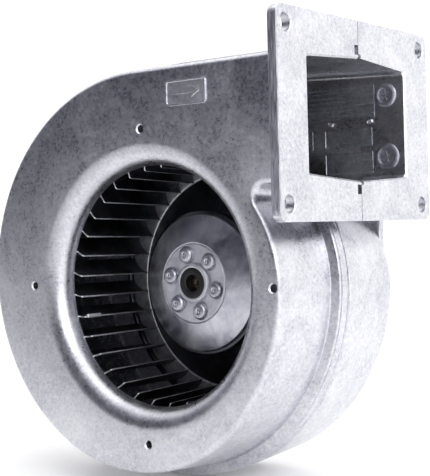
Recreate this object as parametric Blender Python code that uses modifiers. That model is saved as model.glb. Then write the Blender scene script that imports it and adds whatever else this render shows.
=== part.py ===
"""Combustion fan: a forward-curved blower in a two-half die-cast scroll, driven by an external-rotor motor.

Frame, in metres: the origin is the centre of the outlet flange's mating face, on the parting plane of
the two shells. +X is the way the air leaves, +Z is up, and the air enters along +Y through the inlet.
Every part is modelled about the fan's own axis, whose empty carries it to its place: there x and z are
zero on the fan axis, and y is the depth behind the flat inlet face.
"""

import math

import bmesh
import bpy
from mathutils import Matrix, Vector

# Casing, as seen from the inlet side. Depths run back from the inlet face.
OUTLET_REACH = 0.085          # fan axis to the flange's mating face
FACE_THICKNESS = 0.0030
CASING_WALL = 0.0035
SPLIT_DEPTH = 0.0410          # parting plane of the two shells
CASING_DEPTH = 0.0822         # inlet face to the rear wall's outside
SEAM_GAP = 0.0003
DRAFT = math.tan(math.radians(3.65))
EDGE_ROUND = 0.0025
REAR_ROUND = 0.0052
INSIDE_ROUND = 0.0010

# Scroll outline, at the depth where the edge round ends.
SCROLL_START = 0.0713         # radius beside the outlet
SCROLL_GROWTH = 0.0250
GROWTH_TURN = 215.0           # degrees over which the radius grows
TONGUE_DIP = 0.0025           # how much the radius shrinks on its way to the cut-off
TONGUE_TURN = 30.0
DUCT_TOP = 0.0938
DUCT_FLOOR = 0.0412
TONGUE_ROUND = 0.0053
TONGUE_ROUND_LEAST = 0.0015
REAR_BULGE = 0.0045           # the rear scroll is this much wider than the front one
OUTLINE_STEP = 7.2            # degrees

# Lip round the front shell, and the spigot that centres the rear shell.
LIP_DEPTH = 0.0072
LIP_HEIGHT = 0.0046
LIP_SLOPE = 0.0005
SPIGOT_LENGTH = 0.0014
SPIGOT_WALL = 0.0014
REAR_WEB = 0.0035             # thickness of the web between scroll and duct, at the rear
REAR_WEB_EDGE = 0.0712
REAR_WEB_WIDTH = 0.0140
REAR_WEB_START = 0.0100       # its lowest point above the fan axis

# Outlet flange.
FLANGE_HALF = 0.0585          # parting plane to the flange's front and rear edges
FLANGE_HEIGHT = 0.0827
FLANGE_RISE = -0.0003         # flange's middle above the duct's middle
FLANGE_THICKNESS = 0.0043
FLANGE_CORNER = 0.0045
FLANGE_HOLE = 0.0035
FLANGE_HOLE_CHAMFER = 0.0005
FLANGE_HOLES_ACROSS = 0.1040
FLANGE_HOLES_UP = 0.0689
MOUTH_CHAMFER = 0.0012
SEAM_NOTCH_HEIGHT = 0.0040
SEAM_NOTCH_WIDTH = 0.0028

# Inlet.
THROAT_RADIUS = 0.0527
NOZZLE_ROUND = 0.0090
NOZZLE_WALL = 0.0025
NOZZLE_END = 0.0008           # straight stretch behind the quarter round
INLET_HOLE_CIRCLE = 0.0680
INLET_HOLE = 0.00165
INLET_HOLE_DEPTH = 0.0090
INLET_BOSS = 0.0040
INLET_BOSS_DEPTH = 0.0110

# Plate with the direction arrow.
ARROW_PLATE = (0.0215, 0.0108)
ARROW_PLATE_PROUD = 0.0006
ARROW_PLATE_BELOW_TOP = 0.0122
ARROW_PLATE_X = 0.0260

# Impeller.
RUNNING_GAP = 0.0011          # nozzle to impeller, and impeller to its fold
BLADE_COUNT = 34
BLADE_TURN = 6.7              # degrees from +X to the first blade
BLADE_INNER = 0.0496
BLADE_OUTER = 0.0600
BLADE_SPAN = 0.0490
BLADE_SHEET = 0.0006
BLADE_BEND = 62.0             # degrees that a blade turns forward between its edges
BLADE_ARC_STEPS = 3
BAND = 0.0012
RING_SHEET = 0.0008
RING_INNER = 0.0555
RING_FOLD = 0.0034
DISH_RADIUS = 0.0480
DISH_TOP = 0.0405
COLLAR_SLANT = 0.0022
CLIP_BLADE = 18               # which blade carries the balance clip
CLIP_LENGTH = 0.0085
CLIP_WIDTH = 0.0018
CLIP_THICKNESS = 0.0012
CLIP_SET_BACK = 0.0004        # impeller's front edge to the clip

# Motor.
FIT_GAP = 0.0003              # between pieces that touch
OVERCUT = 0.0020              # how far a cut runs past what it cuts
CUP_RADIUS = 0.0314
CUP_WALL = 0.0015
CUP_FACE = 0.0340             # depth of the hub plate's edge
CUP_CONE = 0.0046             # how far the cone falls to the skirt
CUP_SHOULDER = 0.0005
CUP_LENGTH = 0.0440
HUB_RADIUS = 0.01775
HUB_SHEET = 0.0015
HUB_RIM = 0.0008              # height and thickness of the rim round the bush
HUB_CHAMFER = 0.0003
RIVET_CIRCLE = 0.0133
RIVET_COUNT = 6
RIVET_TURN = 46.0
RIVET_HEAD = 0.0032
RIVET_HEAD_HEIGHT = 0.0014
RIVET_HEAD_ROUND = 0.0006
RIVET_SHANK = 0.0020
RIVET_DIMPLE = 0.0014
RIVET_DIMPLE_DEPTH = 0.0007
RIVET_TAIL = 0.0029
RIVET_TAIL_HEIGHT = 0.0010
BUSH_RADIUS = 0.0069
BUSH_PROUD = 0.0010
BUSH_LENGTH = 0.0132
SHAFT_RADIUS = 0.0040
SHAFT_RECESS = 0.0038
SHAFT_CHAMFER = 0.0005
SHAFT_TAIL = 0.0050
RETAINING_RING = (0.0021, 0.0009)     # width and thickness
PRELOAD_WASHER = (0.0019, 0.0008)
BEARING_RADIUS = 0.0109
BEARING_WIDTH = 0.0070
BEARING_RING = 0.0019
BEARING_FRONT = 0.0520
BEARING_REAR = 0.0720
TUBE_WALL = 0.0020
TUBE_FRONT = 0.0490
STATOR_FRONT = 0.0500
STATOR_LENGTH = 0.0200
AIR_GAP = 0.0005
ROTOR_CORE_WALL = 0.0025
END_RING = 0.0032
TOOTH_COUNT = 6
TOOTH_WIDTH = 0.0080
YOKE_WALL = 0.0038
SHOE = 0.0026
SLOT_MOUTH = 0.0030
COIL_HEAD = 0.0037
COIL_BUILD = 0.0030
COIL_ROUND = 0.0012
INSULATOR_LENGTH = 0.0046

# Motor plate and fasteners.
PLATE_RADIUS = 0.0640
PLATE_WALL = 0.0030
PLATE_FLOOR = 0.0040
PLATE_CHAMFER = 0.0010
PLATE_RISE = 0.0134
PLATE_FLAT = 0.0360
PLATE_FOOT = 0.0505
MOTOR_OPENING = 0.0360
SCREW_RADIUS = 0.0020
SCREW_HEAD = 0.0038
SCREW_HEAD_HEIGHT = 0.0026
SCREW_HEAD_ROUND = 0.0010
SCREW_BOSS = 0.0045
MOTOR_SCREW_CIRCLE = 0.0570
MOTOR_SCREW_DEPTH = 0.0060
MOTOR_SCREW_REACH = 0.0075    # rear wall's outside to the screw's tip
LUG_RADIUS = 0.0060
LUG_STAND_OFF = 0.0034        # lip's edge to the lug's centre
LUG_REAR_DEPTH = 0.0080
LUG_ANGLES = (125.0, 160.0, 195.0, 230.0)
GLAND_OFFSET = 0.0230
GLAND_HOLE = 0.0050
GLAND_BORE = 0.0032
GLAND_FLANGE = 0.0068
GLAND_FLANGE_HEIGHT = 0.0016
GLAND_SLANT = 0.0006
GLAND_TAIL = 0.0020           # how far the gland reaches in past the plate

# Flat sides on small round shapes.
DRILL_SIDES = 10
BOSS_SIDES = 16
SCREW_SIDES = 12
RIVET_SIDES = 10
GLAND_SIDES = 20
FLANGE_HOLE_SIDES = 20

# Worked out from the sizes above.
OUTLET_RISE = (DUCT_TOP + DUCT_FLOOR) / 2 + FLANGE_RISE
SCROLL_LARGEST = SCROLL_START + SCROLL_GROWTH
HOLE_CLEARANCE = SCREW_RADIUS + FIT_GAP
NOZZLE_DEPTH = NOZZLE_ROUND + NOZZLE_END
IMPELLER_FRONT = NOZZLE_DEPTH + RUNNING_GAP
BLADES_FRONT = IMPELLER_FRONT + RING_SHEET + FIT_GAP
BLADES_REAR = BLADES_FRONT + BLADE_SPAN
TUBE_INNER = BEARING_RADIUS + FIT_GAP
TUBE_OUTER = TUBE_INNER + TUBE_WALL
STATOR_INNER = TUBE_OUTER + FIT_GAP
CUP_INNER = CUP_RADIUS - CUP_WALL
ROTOR_CORE_OUTER = CUP_INNER - FIT_GAP
ROTOR_CORE_INNER = ROTOR_CORE_OUTER - ROTOR_CORE_WALL
STATOR_OUTER = ROTOR_CORE_INNER - AIR_GAP
STATOR_REAR = STATOR_FRONT + STATOR_LENGTH
PLATE_FRONT = CASING_DEPTH + FIT_GAP
PLATE_BACK = PLATE_FRONT + PLATE_RISE
WEB_FRONT = CUP_FACE + HUB_SHEET + FIT_GAP
WEB_REAR = WEB_FRONT + CUP_WALL

for leftover in list(bpy.data.objects):
    bpy.data.objects.remove(leftover)


def new_collection(name):
    group = bpy.data.collections.new(name)
    bpy.context.scene.collection.children.link(group)
    return group


PARTS = new_collection("combustion_fan")
CUTTERS = new_collection("cutters")


def new_material(name, colour, roughness, metallic):
    material = bpy.data.materials.new(name)
    material.use_nodes = True
    shader = material.node_tree.nodes["Principled BSDF"]
    shader.inputs["Base Color"].default_value = (*colour, 1.0)
    shader.inputs["Roughness"].default_value = roughness
    shader.inputs["Metallic"].default_value = metallic
    return material


CAST_ALUMINIUM = new_material("cast_aluminium", (0.46, 0.47, 0.50), 0.42, 1.0)
DARK_STEEL = new_material("dark_zinc_steel", (0.10, 0.10, 0.11), 0.38, 1.0)
ROTOR_STEEL = new_material("rotor_steel", (0.50, 0.50, 0.52), 0.40, 1.0)
BRIGHT_STEEL = new_material("bright_steel", (0.62, 0.62, 0.64), 0.28, 1.0)
LAMINATED_STEEL = new_material("laminated_steel", (0.30, 0.30, 0.32), 0.50, 1.0)
COPPER = new_material("enamelled_copper", (0.50, 0.20, 0.08), 0.35, 1.0)
PLASTIC = new_material("insulator_plastic", (0.75, 0.74, 0.70), 0.50, 0.0)
DARK_PLASTIC = new_material("bush_plastic", (0.05, 0.05, 0.05), 0.45, 0.0)
RUBBER = new_material("gland_rubber", (0.03, 0.03, 0.03), 0.70, 0.0)


def new_empty(name):
    empty = bpy.data.objects.new(name, None)
    empty.location = (-OUTLET_REACH, -SPLIT_DEPTH, -OUTLET_RISE)
    PARTS.objects.link(empty)
    return empty


HOUSING = new_empty("housing_axis")
ROTOR = new_empty("rotor_axis")


def add_part(name, mesh, material, parent):
    part = bpy.data.objects.new(name, mesh)
    part.data.materials.append(material)
    part.parent = parent
    PARTS.objects.link(part)
    return part


def add_cutter(name, mesh, parent=HOUSING):
    cutter = bpy.data.objects.new(name, mesh)
    cutter.parent = parent
    cutter.hide_render = True
    cutter.display_type = "WIRE"
    CUTTERS.objects.link(cutter)
    return cutter


def combine(target, tool, operation):
    step = target.modifiers.new(operation.lower() + "_" + tool.name, "BOOLEAN")
    step.operation = operation
    step.solver = "EXACT"
    step.object = tool


def mesh_from(build, name):
    shape = bmesh.new()
    build(shape)
    mesh = bpy.data.meshes.new(name)
    shape.to_mesh(mesh)
    shape.free()
    return mesh


# Turned shapes: (radius, depth) profiles swept about the fan axis by a Screw modifier.

def profile_mesh(name, points, closed):
    """A profile wound so that the swept surface faces out."""
    area = sum(a[0] * b[1] - b[0] * a[1] for a, b in zip(points, points[1:] + points[:1]))
    ordered = points if area < 0 else points[::-1]
    links = [(i, i + 1) for i in range(len(ordered) - 1)]
    if closed:
        links.append((len(ordered) - 1, 0))
    mesh = bpy.data.meshes.new(name)
    mesh.from_pydata([(radius, depth, 0) for radius, depth in ordered], links, [])
    return mesh


def sweep(part, segments):
    screw = part.modifiers.new("turned", "SCREW")
    screw.axis = "Y"
    screw.steps = segments
    screw.render_steps = segments
    screw.use_merge_vertices = True
    screw.merge_threshold = 0.00001
    screw.use_smooth_shade = True
    return part


def ring(name, points, material, parent, segments=64):
    """A ring: its profile never touches the axis."""
    return sweep(add_part(name, profile_mesh(name, points, True), material, parent), segments)


def plug(name, points, material, parent, segments=64):
    """A solid of revolution: its profile starts and ends on the axis."""
    return sweep(add_part(name, profile_mesh(name, points, False), material, parent), segments)


def plug_cutter(name, points, segments=48, parent=HOUSING):
    return sweep(add_cutter(name, profile_mesh(name, points, False), parent), segments)


def tube_profile(inner, outer, front, rear):
    return [(inner, front), (outer, front), (outer, rear), (inner, rear)]


def rod_profile(radius, front, rear):
    return [(0, front), (radius, front), (radius, rear), (0, rear)]


def quarter_round(centre, radius, first, last, steps):
    """Points on an arc in the (radius, depth) plane. Angles are in degrees."""
    turns = [math.radians(first + (last - first) * i / steps) for i in range(steps + 1)]
    return [(centre[0] + radius * math.cos(t), centre[1] + radius * math.sin(t)) for t in turns]


def on_circle(radius, angle, depth=0.0):
    """A point at an angle that runs anticlockwise from +X, seen from the inlet."""
    turn = math.radians(angle)
    return Vector((radius * math.cos(turn), depth, radius * math.sin(turn)))


def place(part, radius, angle):
    """Moves a part turned about its own axis to a place on a circle round the fan axis."""
    part.location = on_circle(radius, angle)
    return part


def round_cutters(name, radius, front, rear, places, segments=16, parent=HOUSING):
    """Parallel round drills, one for each (circle radius, angle), as one cutter."""
    def build(shape):
        upright = Matrix.Rotation(math.radians(-90), 4, "X")
        for circle, angle in places:
            centre = on_circle(circle, angle, (front + rear) / 2)
            bmesh.ops.create_cone(
                shape, cap_ends=True, segments=segments, radius1=radius, radius2=radius,
                depth=rear - front, matrix=Matrix.Translation(centre) @ upright)
    return add_cutter(name, mesh_from(build, name), parent)


# The scroll outline and what is lofted from it.

def scroll_radius(turn):
    """Radius where the scroll has turned this many degrees clockwise from +X, seen from the inlet."""
    if turn < 0:
        return SCROLL_START - TONGUE_DIP * (turn / TONGUE_TURN) ** 2
    return SCROLL_START + SCROLL_GROWTH * (1 - math.cos(math.pi * turn / GROWTH_TURN)) / 2


def tongue_fillet(grow):
    """The round between scroll and duct floor: its radius, and the centre's distance and angle."""
    radius = max(TONGUE_ROUND - grow, TONGUE_ROUND_LEAST)
    height = DUCT_FLOOR - grow - radius
    angle = TONGUE_TURN
    for _ in range(12):
        distance = scroll_radius(-angle) + grow + radius
        angle = math.degrees(math.asin(height / distance))
    return radius, distance, angle


def steps_between(first, last, step):
    count = max(1, round(abs(last - first) / step))
    return [first + (last - first) * i / count for i in range(count + 1)]


def outline(grow, bulge, mouth):
    """The casing's outline as (x, z) points, grown outward by grow, and by bulge more on the scroll."""
    crown_turn = 360.0 - GROWTH_TURN
    rise = math.sin(math.radians(crown_turn))
    crown = (DUCT_TOP - SCROLL_LARGEST * rise) / (1 - rise)
    centre = on_circle(SCROLL_LARGEST - crown, crown_turn)
    points = [(mouth, DUCT_TOP + grow)]
    for angle in steps_between(90.0, crown_turn, OUTLINE_STEP):
        edge = centre + on_circle(crown + grow + bulge, angle)
        points.append((edge.x, edge.z))
    for angle in steps_between(crown_turn, 360.0, OUTLINE_STEP)[1:]:
        edge = on_circle(scroll_radius(360.0 - angle) + grow + bulge, angle)
        points.append((edge.x, edge.z))
    radius, distance, last = tongue_fillet(grow)
    for angle in steps_between(0.0, last, last / 5)[1:]:
        fade = 1 - angle / last
        edge = on_circle(scroll_radius(-angle) + grow + bulge * fade, angle)
        points.append((edge.x, edge.z))
    corner = on_circle(distance, last)
    for angle in steps_between(last + 180.0, 90.0, (last + 90.0) / 6)[1:]:
        edge = corner + on_circle(radius, angle)
        points.append((edge.x, edge.z))
    points.append((mouth, DUCT_FLOOR - grow))
    return points


def loft(sections, mouth):
    """Builds a closed body through (depth, grow, bulge) sections, from front to rear."""
    def build(shape):
        rings = []
        for depth, grow, bulge in sections:
            points = outline(grow, bulge, mouth)
            rings.append([shape.verts.new((x, depth, z)) for x, z in points])
        for near, far in zip(rings, rings[1:]):
            for i, _ in enumerate(near):
                j = (i + 1) % len(near)
                shape.faces.new((near[i], far[i], far[j], near[j]))
        shape.faces.new(rings[0])
        shape.faces.new(rings[-1][::-1])
        bmesh.ops.recalc_face_normals(shape, faces=shape.faces[:])
    return build


def drafted(depth):
    """How far the casing's walls have spread at a depth, from either end to the parting plane."""
    if depth <= SPLIT_DEPTH:
        return DRAFT * (depth - EDGE_ROUND)
    return DRAFT * (2 * SPLIT_DEPTH - EDGE_ROUND - depth)


def quarter_insets(radius, steps):
    """(depth, inset) pairs along the round at a casing's flat end, from the flat to the side wall."""
    turns = [math.radians(90.0 * i / steps) for i in range(steps + 1)]
    return [(radius * (1 - math.cos(t)), radius * (1 - math.sin(t))) for t in turns]


def add_block(shape, low, high):
    size = [b - a for a, b in zip(low, high)]
    middle = [(a + b) / 2 for a, b in zip(low, high)]
    bmesh.ops.create_cube(shape, size=1.0, matrix=Matrix.Translation(middle) @ Matrix.Diagonal((*size, 1)))


def block_mesh(name, low, high):
    return mesh_from(lambda shape: add_block(shape, low, high), name)


def plate_mesh(name, low, high, corner, front_round):
    """A plate lying in the YZ plane, with the two corners at its front or rear edge rounded."""
    def build(shape):
        add_block(shape, low, high)
        side = low[1] if front_round else high[1]
        edges = [e for e in shape.edges if all(abs(v.co.y - side) < 1e-6 for v in e.verts)
                 and abs(e.verts[0].co.z - e.verts[1].co.z) < 1e-6]
        bmesh.ops.bevel(shape, geom=edges, offset=corner, segments=4, profile=0.5, affect="EDGES")
    return mesh_from(build, name)


def flange_hole_cutter(name, depth):
    """Drills the flange's two holes at one depth, each with a small chamfer at the mating face."""
    start = OUTLET_REACH - 2 * FLANGE_THICKNESS
    chamfer = OUTLET_REACH - FLANGE_HOLE_CHAMFER
    spread = 1 + 2 * FLANGE_HOLE_CHAMFER / FLANGE_HOLE

    def build(shape):
        sideways = Matrix.Rotation(math.radians(90), 4, "Y")
        for height in (-FLANGE_HOLES_UP / 2, FLANGE_HOLES_UP / 2):
            middle = Vector(((start + chamfer) / 2, depth, OUTLET_RISE + height))
            bmesh.ops.create_cone(
                shape, cap_ends=True, segments=FLANGE_HOLE_SIDES, radius1=FLANGE_HOLE, radius2=FLANGE_HOLE,
                depth=chamfer - start, matrix=Matrix.Translation(middle) @ sideways)
            end = [f for f in shape.faces if len(f.verts) == FLANGE_HOLE_SIDES
                   and (f.calc_center_median() - Vector((chamfer, depth, middle.z))).length < 1e-5]
            grown = bmesh.ops.extrude_discrete_faces(shape, faces=end)
            corners = grown["faces"][0].verts
            bmesh.ops.scale(shape, verts=corners, vec=(1, spread, spread),
                            space=Matrix.Translation(-Vector((chamfer, depth, middle.z))))
            bmesh.ops.translate(shape, verts=corners, vec=(2 * FLANGE_HOLE_CHAMFER, 0, 0))
    return add_cutter(name, mesh_from(build, name))


def mouth_chamfer_cutter(name):
    """A frustum that breaks the edges of the six-sided outlet window."""
    inner_front = FACE_THICKNESS
    inner_rear = CASING_DEPTH - FACE_THICKNESS
    wall = CASING_WALL

    def corners(grow):
        side_top = DUCT_TOP - wall + drafted(FACE_THICKNESS) + grow / 2
        side_floor = DUCT_FLOOR + wall - drafted(FACE_THICKNESS) - grow / 2
        split_top = DUCT_TOP - wall + drafted(SPLIT_DEPTH) + grow / 2
        split_floor = DUCT_FLOOR + wall - drafted(SPLIT_DEPTH) - grow / 2
        return [
            (inner_front - grow, side_floor), (SPLIT_DEPTH, split_floor), (inner_rear + grow, side_floor),
            (inner_rear + grow, side_top), (SPLIT_DEPTH, split_top), (inner_front - grow, side_top)]

    def build(shape):
        back = OUTLET_REACH - 2 * MOUTH_CHAMFER
        front = OUTLET_REACH + MOUTH_CHAMFER
        near = [shape.verts.new((back, y, z)) for y, z in corners(-MOUTH_CHAMFER)]
        far = [shape.verts.new((front, y, z)) for y, z in corners(2 * MOUTH_CHAMFER)]
        for i in range(6):
            j = (i + 1) % 6
            shape.faces.new((near[i], far[i], far[j], near[j]))
        shape.faces.new(near)
        shape.faces.new(far[::-1])
        bmesh.ops.recalc_face_normals(shape, faces=shape.faces[:])
    return add_cutter(name, mesh_from(build, name))


def lug_places():
    return [(scroll_radius(360.0 - angle) + LIP_HEIGHT + drafted(SPLIT_DEPTH) + LUG_STAND_OFF, angle)
            for angle in LUG_ANGLES]


def motor_screw_places():
    return [(MOTOR_SCREW_CIRCLE, 45.0 + 90.0 * i) for i in range(4)]


def flange_depths():
    return SPLIT_DEPTH - FLANGE_HOLES_ACROSS / 2, SPLIT_DEPTH + FLANGE_HOLES_ACROSS / 2


def make_front_shell():
    lip_front = SPLIT_DEPTH - LIP_DEPTH
    seam = SPLIT_DEPTH - SEAM_GAP / 2
    inner_at_seam = drafted(SPLIT_DEPTH) - CASING_WALL
    body = loft([(depth, -inset, 0.0) for depth, inset in quarter_insets(EDGE_ROUND, 2)] + [
        (lip_front, drafted(lip_front), 0.0),
        (lip_front + LIP_SLOPE, drafted(lip_front) + LIP_HEIGHT, 0.0),
        (seam, drafted(seam) + LIP_HEIGHT, 0.0),
        (seam + FIT_GAP / 3, inner_at_seam + SPIGOT_WALL, 0.0),
        (SPLIT_DEPTH + SPIGOT_LENGTH, inner_at_seam + SPIGOT_WALL, 0.0),
    ], OUTLET_REACH - FLANGE_THICKNESS / 2)
    shell = add_part("front_shell", mesh_from(body, "front_shell"), CAST_ALUMINIUM, HOUSING)
    flange = add_cutter("front_flange", plate_mesh(
        "front_flange",
        (OUTLET_REACH - FLANGE_THICKNESS, SPLIT_DEPTH - FLANGE_HALF, OUTLET_RISE - FLANGE_HEIGHT / 2),
        (OUTLET_REACH, seam, OUTLET_RISE + FLANGE_HEIGHT / 2), FLANGE_CORNER, True))
    combine(shell, flange, "UNION")
    lugs = round_cutters("front_lugs", LUG_RADIUS, lip_front + LIP_SLOPE, seam, lug_places(), BOSS_SIDES)
    combine(shell, lugs, "UNION")
    plate_z = DUCT_TOP - ARROW_PLATE_BELOW_TOP
    arrow = add_cutter("arrow_plate", block_mesh(
        "arrow_plate",
        (ARROW_PLATE_X - ARROW_PLATE[0] / 2, -ARROW_PLATE_PROUD, plate_z - ARROW_PLATE[1] / 2),
        (ARROW_PLATE_X + ARROW_PLATE[0] / 2, FACE_THICKNESS / 2, plate_z + ARROW_PLATE[1] / 2)))
    combine(shell, arrow, "UNION")
    hollow = add_cutter("front_hollow", mesh_from(loft([
        (FACE_THICKNESS, drafted(FACE_THICKNESS) - CASING_WALL - INSIDE_ROUND, 0.0),
        (FACE_THICKNESS + INSIDE_ROUND, drafted(FACE_THICKNESS) - CASING_WALL, 0.0),
        (SPLIT_DEPTH, inner_at_seam, 0.0),
        (SPLIT_DEPTH + 2 * SPIGOT_LENGTH, inner_at_seam, 0.0),
    ], OUTLET_REACH + FLANGE_THICKNESS), "front_hollow"))
    throat_outer = THROAT_RADIUS + NOZZLE_ROUND
    nozzle_centre = (throat_outer, NOZZLE_ROUND)
    inner_arc = quarter_round(nozzle_centre, NOZZLE_ROUND - NOZZLE_WALL, 270, 180, 3)
    nozzle_root = throat_outer + OVERCUT
    nozzle_wall = plug_cutter(
        "nozzle_wall", [(0, FACE_THICKNESS / 2), (nozzle_root, FACE_THICKNESS / 2)]
        + [(nozzle_root, inner_arc[0][1])] + inner_arc
        + [(inner_arc[-1][0], NOZZLE_DEPTH), (0, NOZZLE_DEPTH)])
    combine(hollow, nozzle_wall, "DIFFERENCE")
    inlet_holes = [(INLET_HOLE_CIRCLE, 90.0 * i) for i in range(4)]
    bosses = round_cutters(
        "inlet_bosses", INLET_BOSS, FACE_THICKNESS / 2, INLET_BOSS_DEPTH, inlet_holes, BOSS_SIDES)
    combine(hollow, bosses, "DIFFERENCE")
    combine(shell, hollow, "DIFFERENCE")
    flare = quarter_round(nozzle_centre, NOZZLE_ROUND, 270, 180, 5)
    eye = plug_cutter(
        "inlet_eye", [(0, -OVERCUT), (throat_outer, -OVERCUT)] + flare
        + [(THROAT_RADIUS, NOZZLE_DEPTH + OVERCUT), (0, NOZZLE_DEPTH + OVERCUT)])
    combine(shell, eye, "DIFFERENCE")
    taps = round_cutters(
        "inlet_taps", INLET_HOLE, -OVERCUT, INLET_HOLE_DEPTH, inlet_holes, DRILL_SIDES)
    combine(shell, taps, "DIFFERENCE")
    combine(shell, flange_hole_cutter("front_flange_holes", flange_depths()[0]), "DIFFERENCE")
    combine(shell, mouth_chamfer_cutter("front_mouth_chamfer"), "DIFFERENCE")
    drills = round_cutters(
        "front_lug_holes", HOLE_CLEARANCE, lip_front - OVERCUT, SPLIT_DEPTH + OVERCUT,
        lug_places(), DRILL_SIDES)
    combine(shell, drills, "DIFFERENCE")
    notch_inner = DUCT_TOP + inner_at_seam + SPIGOT_WALL
    notch_outer = notch_inner + SEAM_NOTCH_HEIGHT
    mirror = DUCT_TOP + DUCT_FLOOR

    def cut_notches(shape):
        for low, high in ((notch_inner, notch_outer), (mirror - notch_outer, mirror - notch_inner)):
            add_block(shape, (OUTLET_REACH - 2 * FLANGE_THICKNESS, seam - SEAM_NOTCH_WIDTH, low),
                      (OUTLET_REACH + 2 * FLANGE_THICKNESS, seam + FIT_GAP, high))

    notches = add_cutter("seam_notches", mesh_from(cut_notches, "seam_notches"))
    combine(shell, notches, "DIFFERENCE")
    return shell


def make_rear_shell():
    seam = SPLIT_DEPTH + SEAM_GAP / 2
    back_inside = CASING_DEPTH - FACE_THICKNESS
    inner_at_seam = drafted(SPLIT_DEPTH) - CASING_WALL
    rebate = SPIGOT_WALL + FIT_GAP
    body = loft([(seam, drafted(seam), REAR_BULGE)] + [
        (CASING_DEPTH - depth, drafted(CASING_DEPTH - depth) - inset, REAR_BULGE)
        for depth, inset in reversed(quarter_insets(REAR_ROUND, 3))
    ], OUTLET_REACH - FLANGE_THICKNESS / 2)
    shell = add_part("rear_shell", mesh_from(body, "rear_shell"), CAST_ALUMINIUM, HOUSING)
    flange = add_cutter("rear_flange", plate_mesh(
        "rear_flange",
        (OUTLET_REACH - FLANGE_THICKNESS, seam, OUTLET_RISE - FLANGE_HEIGHT / 2),
        (OUTLET_REACH, SPLIT_DEPTH + FLANGE_HALF, OUTLET_RISE + FLANGE_HEIGHT / 2), FLANGE_CORNER, False))
    combine(shell, flange, "UNION")
    web_rear = CASING_DEPTH - FIT_GAP
    web = add_cutter("rear_web", block_mesh(
        "rear_web", (REAR_WEB_EDGE - REAR_WEB_WIDTH, web_rear - REAR_WEB, REAR_WEB_START),
        (REAR_WEB_EDGE, web_rear, DUCT_FLOOR + CASING_WALL)))
    combine(shell, web, "UNION")
    lugs = round_cutters(
        "rear_lugs", LUG_RADIUS, seam, SPLIT_DEPTH + LUG_REAR_DEPTH, lug_places(), BOSS_SIDES)
    combine(shell, lugs, "UNION")
    hollow = add_cutter("rear_hollow", mesh_from(loft([
        (SPLIT_DEPTH - OVERCUT, inner_at_seam + rebate, REAR_BULGE - rebate),
        (SPLIT_DEPTH + SPIGOT_LENGTH + FIT_GAP, inner_at_seam + rebate, REAR_BULGE - rebate),
        (SPLIT_DEPTH + SPIGOT_LENGTH + 2 * FIT_GAP, inner_at_seam, REAR_BULGE),
        (back_inside - INSIDE_ROUND, drafted(back_inside) - CASING_WALL, REAR_BULGE),
        (back_inside, drafted(back_inside) - CASING_WALL - INSIDE_ROUND, REAR_BULGE),
    ], OUTLET_REACH + FLANGE_THICKNESS), "rear_hollow"))
    motor_screws = motor_screw_places()
    bosses = round_cutters(
        "motor_bosses", SCREW_BOSS, back_inside - MOTOR_SCREW_DEPTH, CASING_DEPTH,
        motor_screws, BOSS_SIDES)
    combine(hollow, bosses, "DIFFERENCE")
    combine(shell, hollow, "DIFFERENCE")
    opening = plug_cutter("motor_opening", rod_profile(
        MOTOR_OPENING, back_inside - OVERCUT, CASING_DEPTH + OVERCUT))
    combine(shell, opening, "DIFFERENCE")
    taps = round_cutters(
        "motor_taps", HOLE_CLEARANCE, back_inside - MOTOR_SCREW_DEPTH - OVERCUT, CASING_DEPTH + OVERCUT,
        motor_screws, DRILL_SIDES)
    combine(shell, taps, "DIFFERENCE")
    combine(shell, flange_hole_cutter("rear_flange_holes", flange_depths()[1]), "DIFFERENCE")
    combine(shell, mouth_chamfer_cutter("rear_mouth_chamfer"), "DIFFERENCE")
    drills = round_cutters(
        "rear_lug_holes", HOLE_CLEARANCE, SPLIT_DEPTH - OVERCUT, SPLIT_DEPTH + LUG_REAR_DEPTH + OVERCUT,
        lug_places(), DRILL_SIDES)
    combine(shell, drills, "DIFFERENCE")
    return shell


def screw_profile(seat, tip):
    """A pan-head screw whose head stands behind the seat and whose shank runs forward to the tip."""
    top = seat + SCREW_HEAD_HEIGHT
    return [(0, tip), (SCREW_RADIUS, tip), (SCREW_RADIUS, seat), (SCREW_HEAD, seat),
            (SCREW_HEAD, top - SCREW_HEAD_ROUND), (SCREW_HEAD - SCREW_HEAD_ROUND, top), (0, top)]


def make_fasteners():
    lug_seat = SPLIT_DEPTH + LUG_REAR_DEPTH + FIT_GAP
    for number, (radius, angle) in enumerate(lug_places(), 1):
        screw = plug(f"shell_screw_{number}", screw_profile(lug_seat, SPLIT_DEPTH - LIP_DEPTH + LIP_SLOPE),
                     BRIGHT_STEEL, HOUSING, SCREW_SIDES)
        place(screw, radius, angle)
    plate_seat = PLATE_FRONT + PLATE_WALL + FIT_GAP
    for number, (radius, angle) in enumerate(motor_screw_places(), 1):
        screw = plug(f"motor_screw_{number}", screw_profile(plate_seat, CASING_DEPTH - MOTOR_SCREW_REACH),
                     BRIGHT_STEEL, HOUSING, SCREW_SIDES)
        place(screw, radius, angle)


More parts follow.
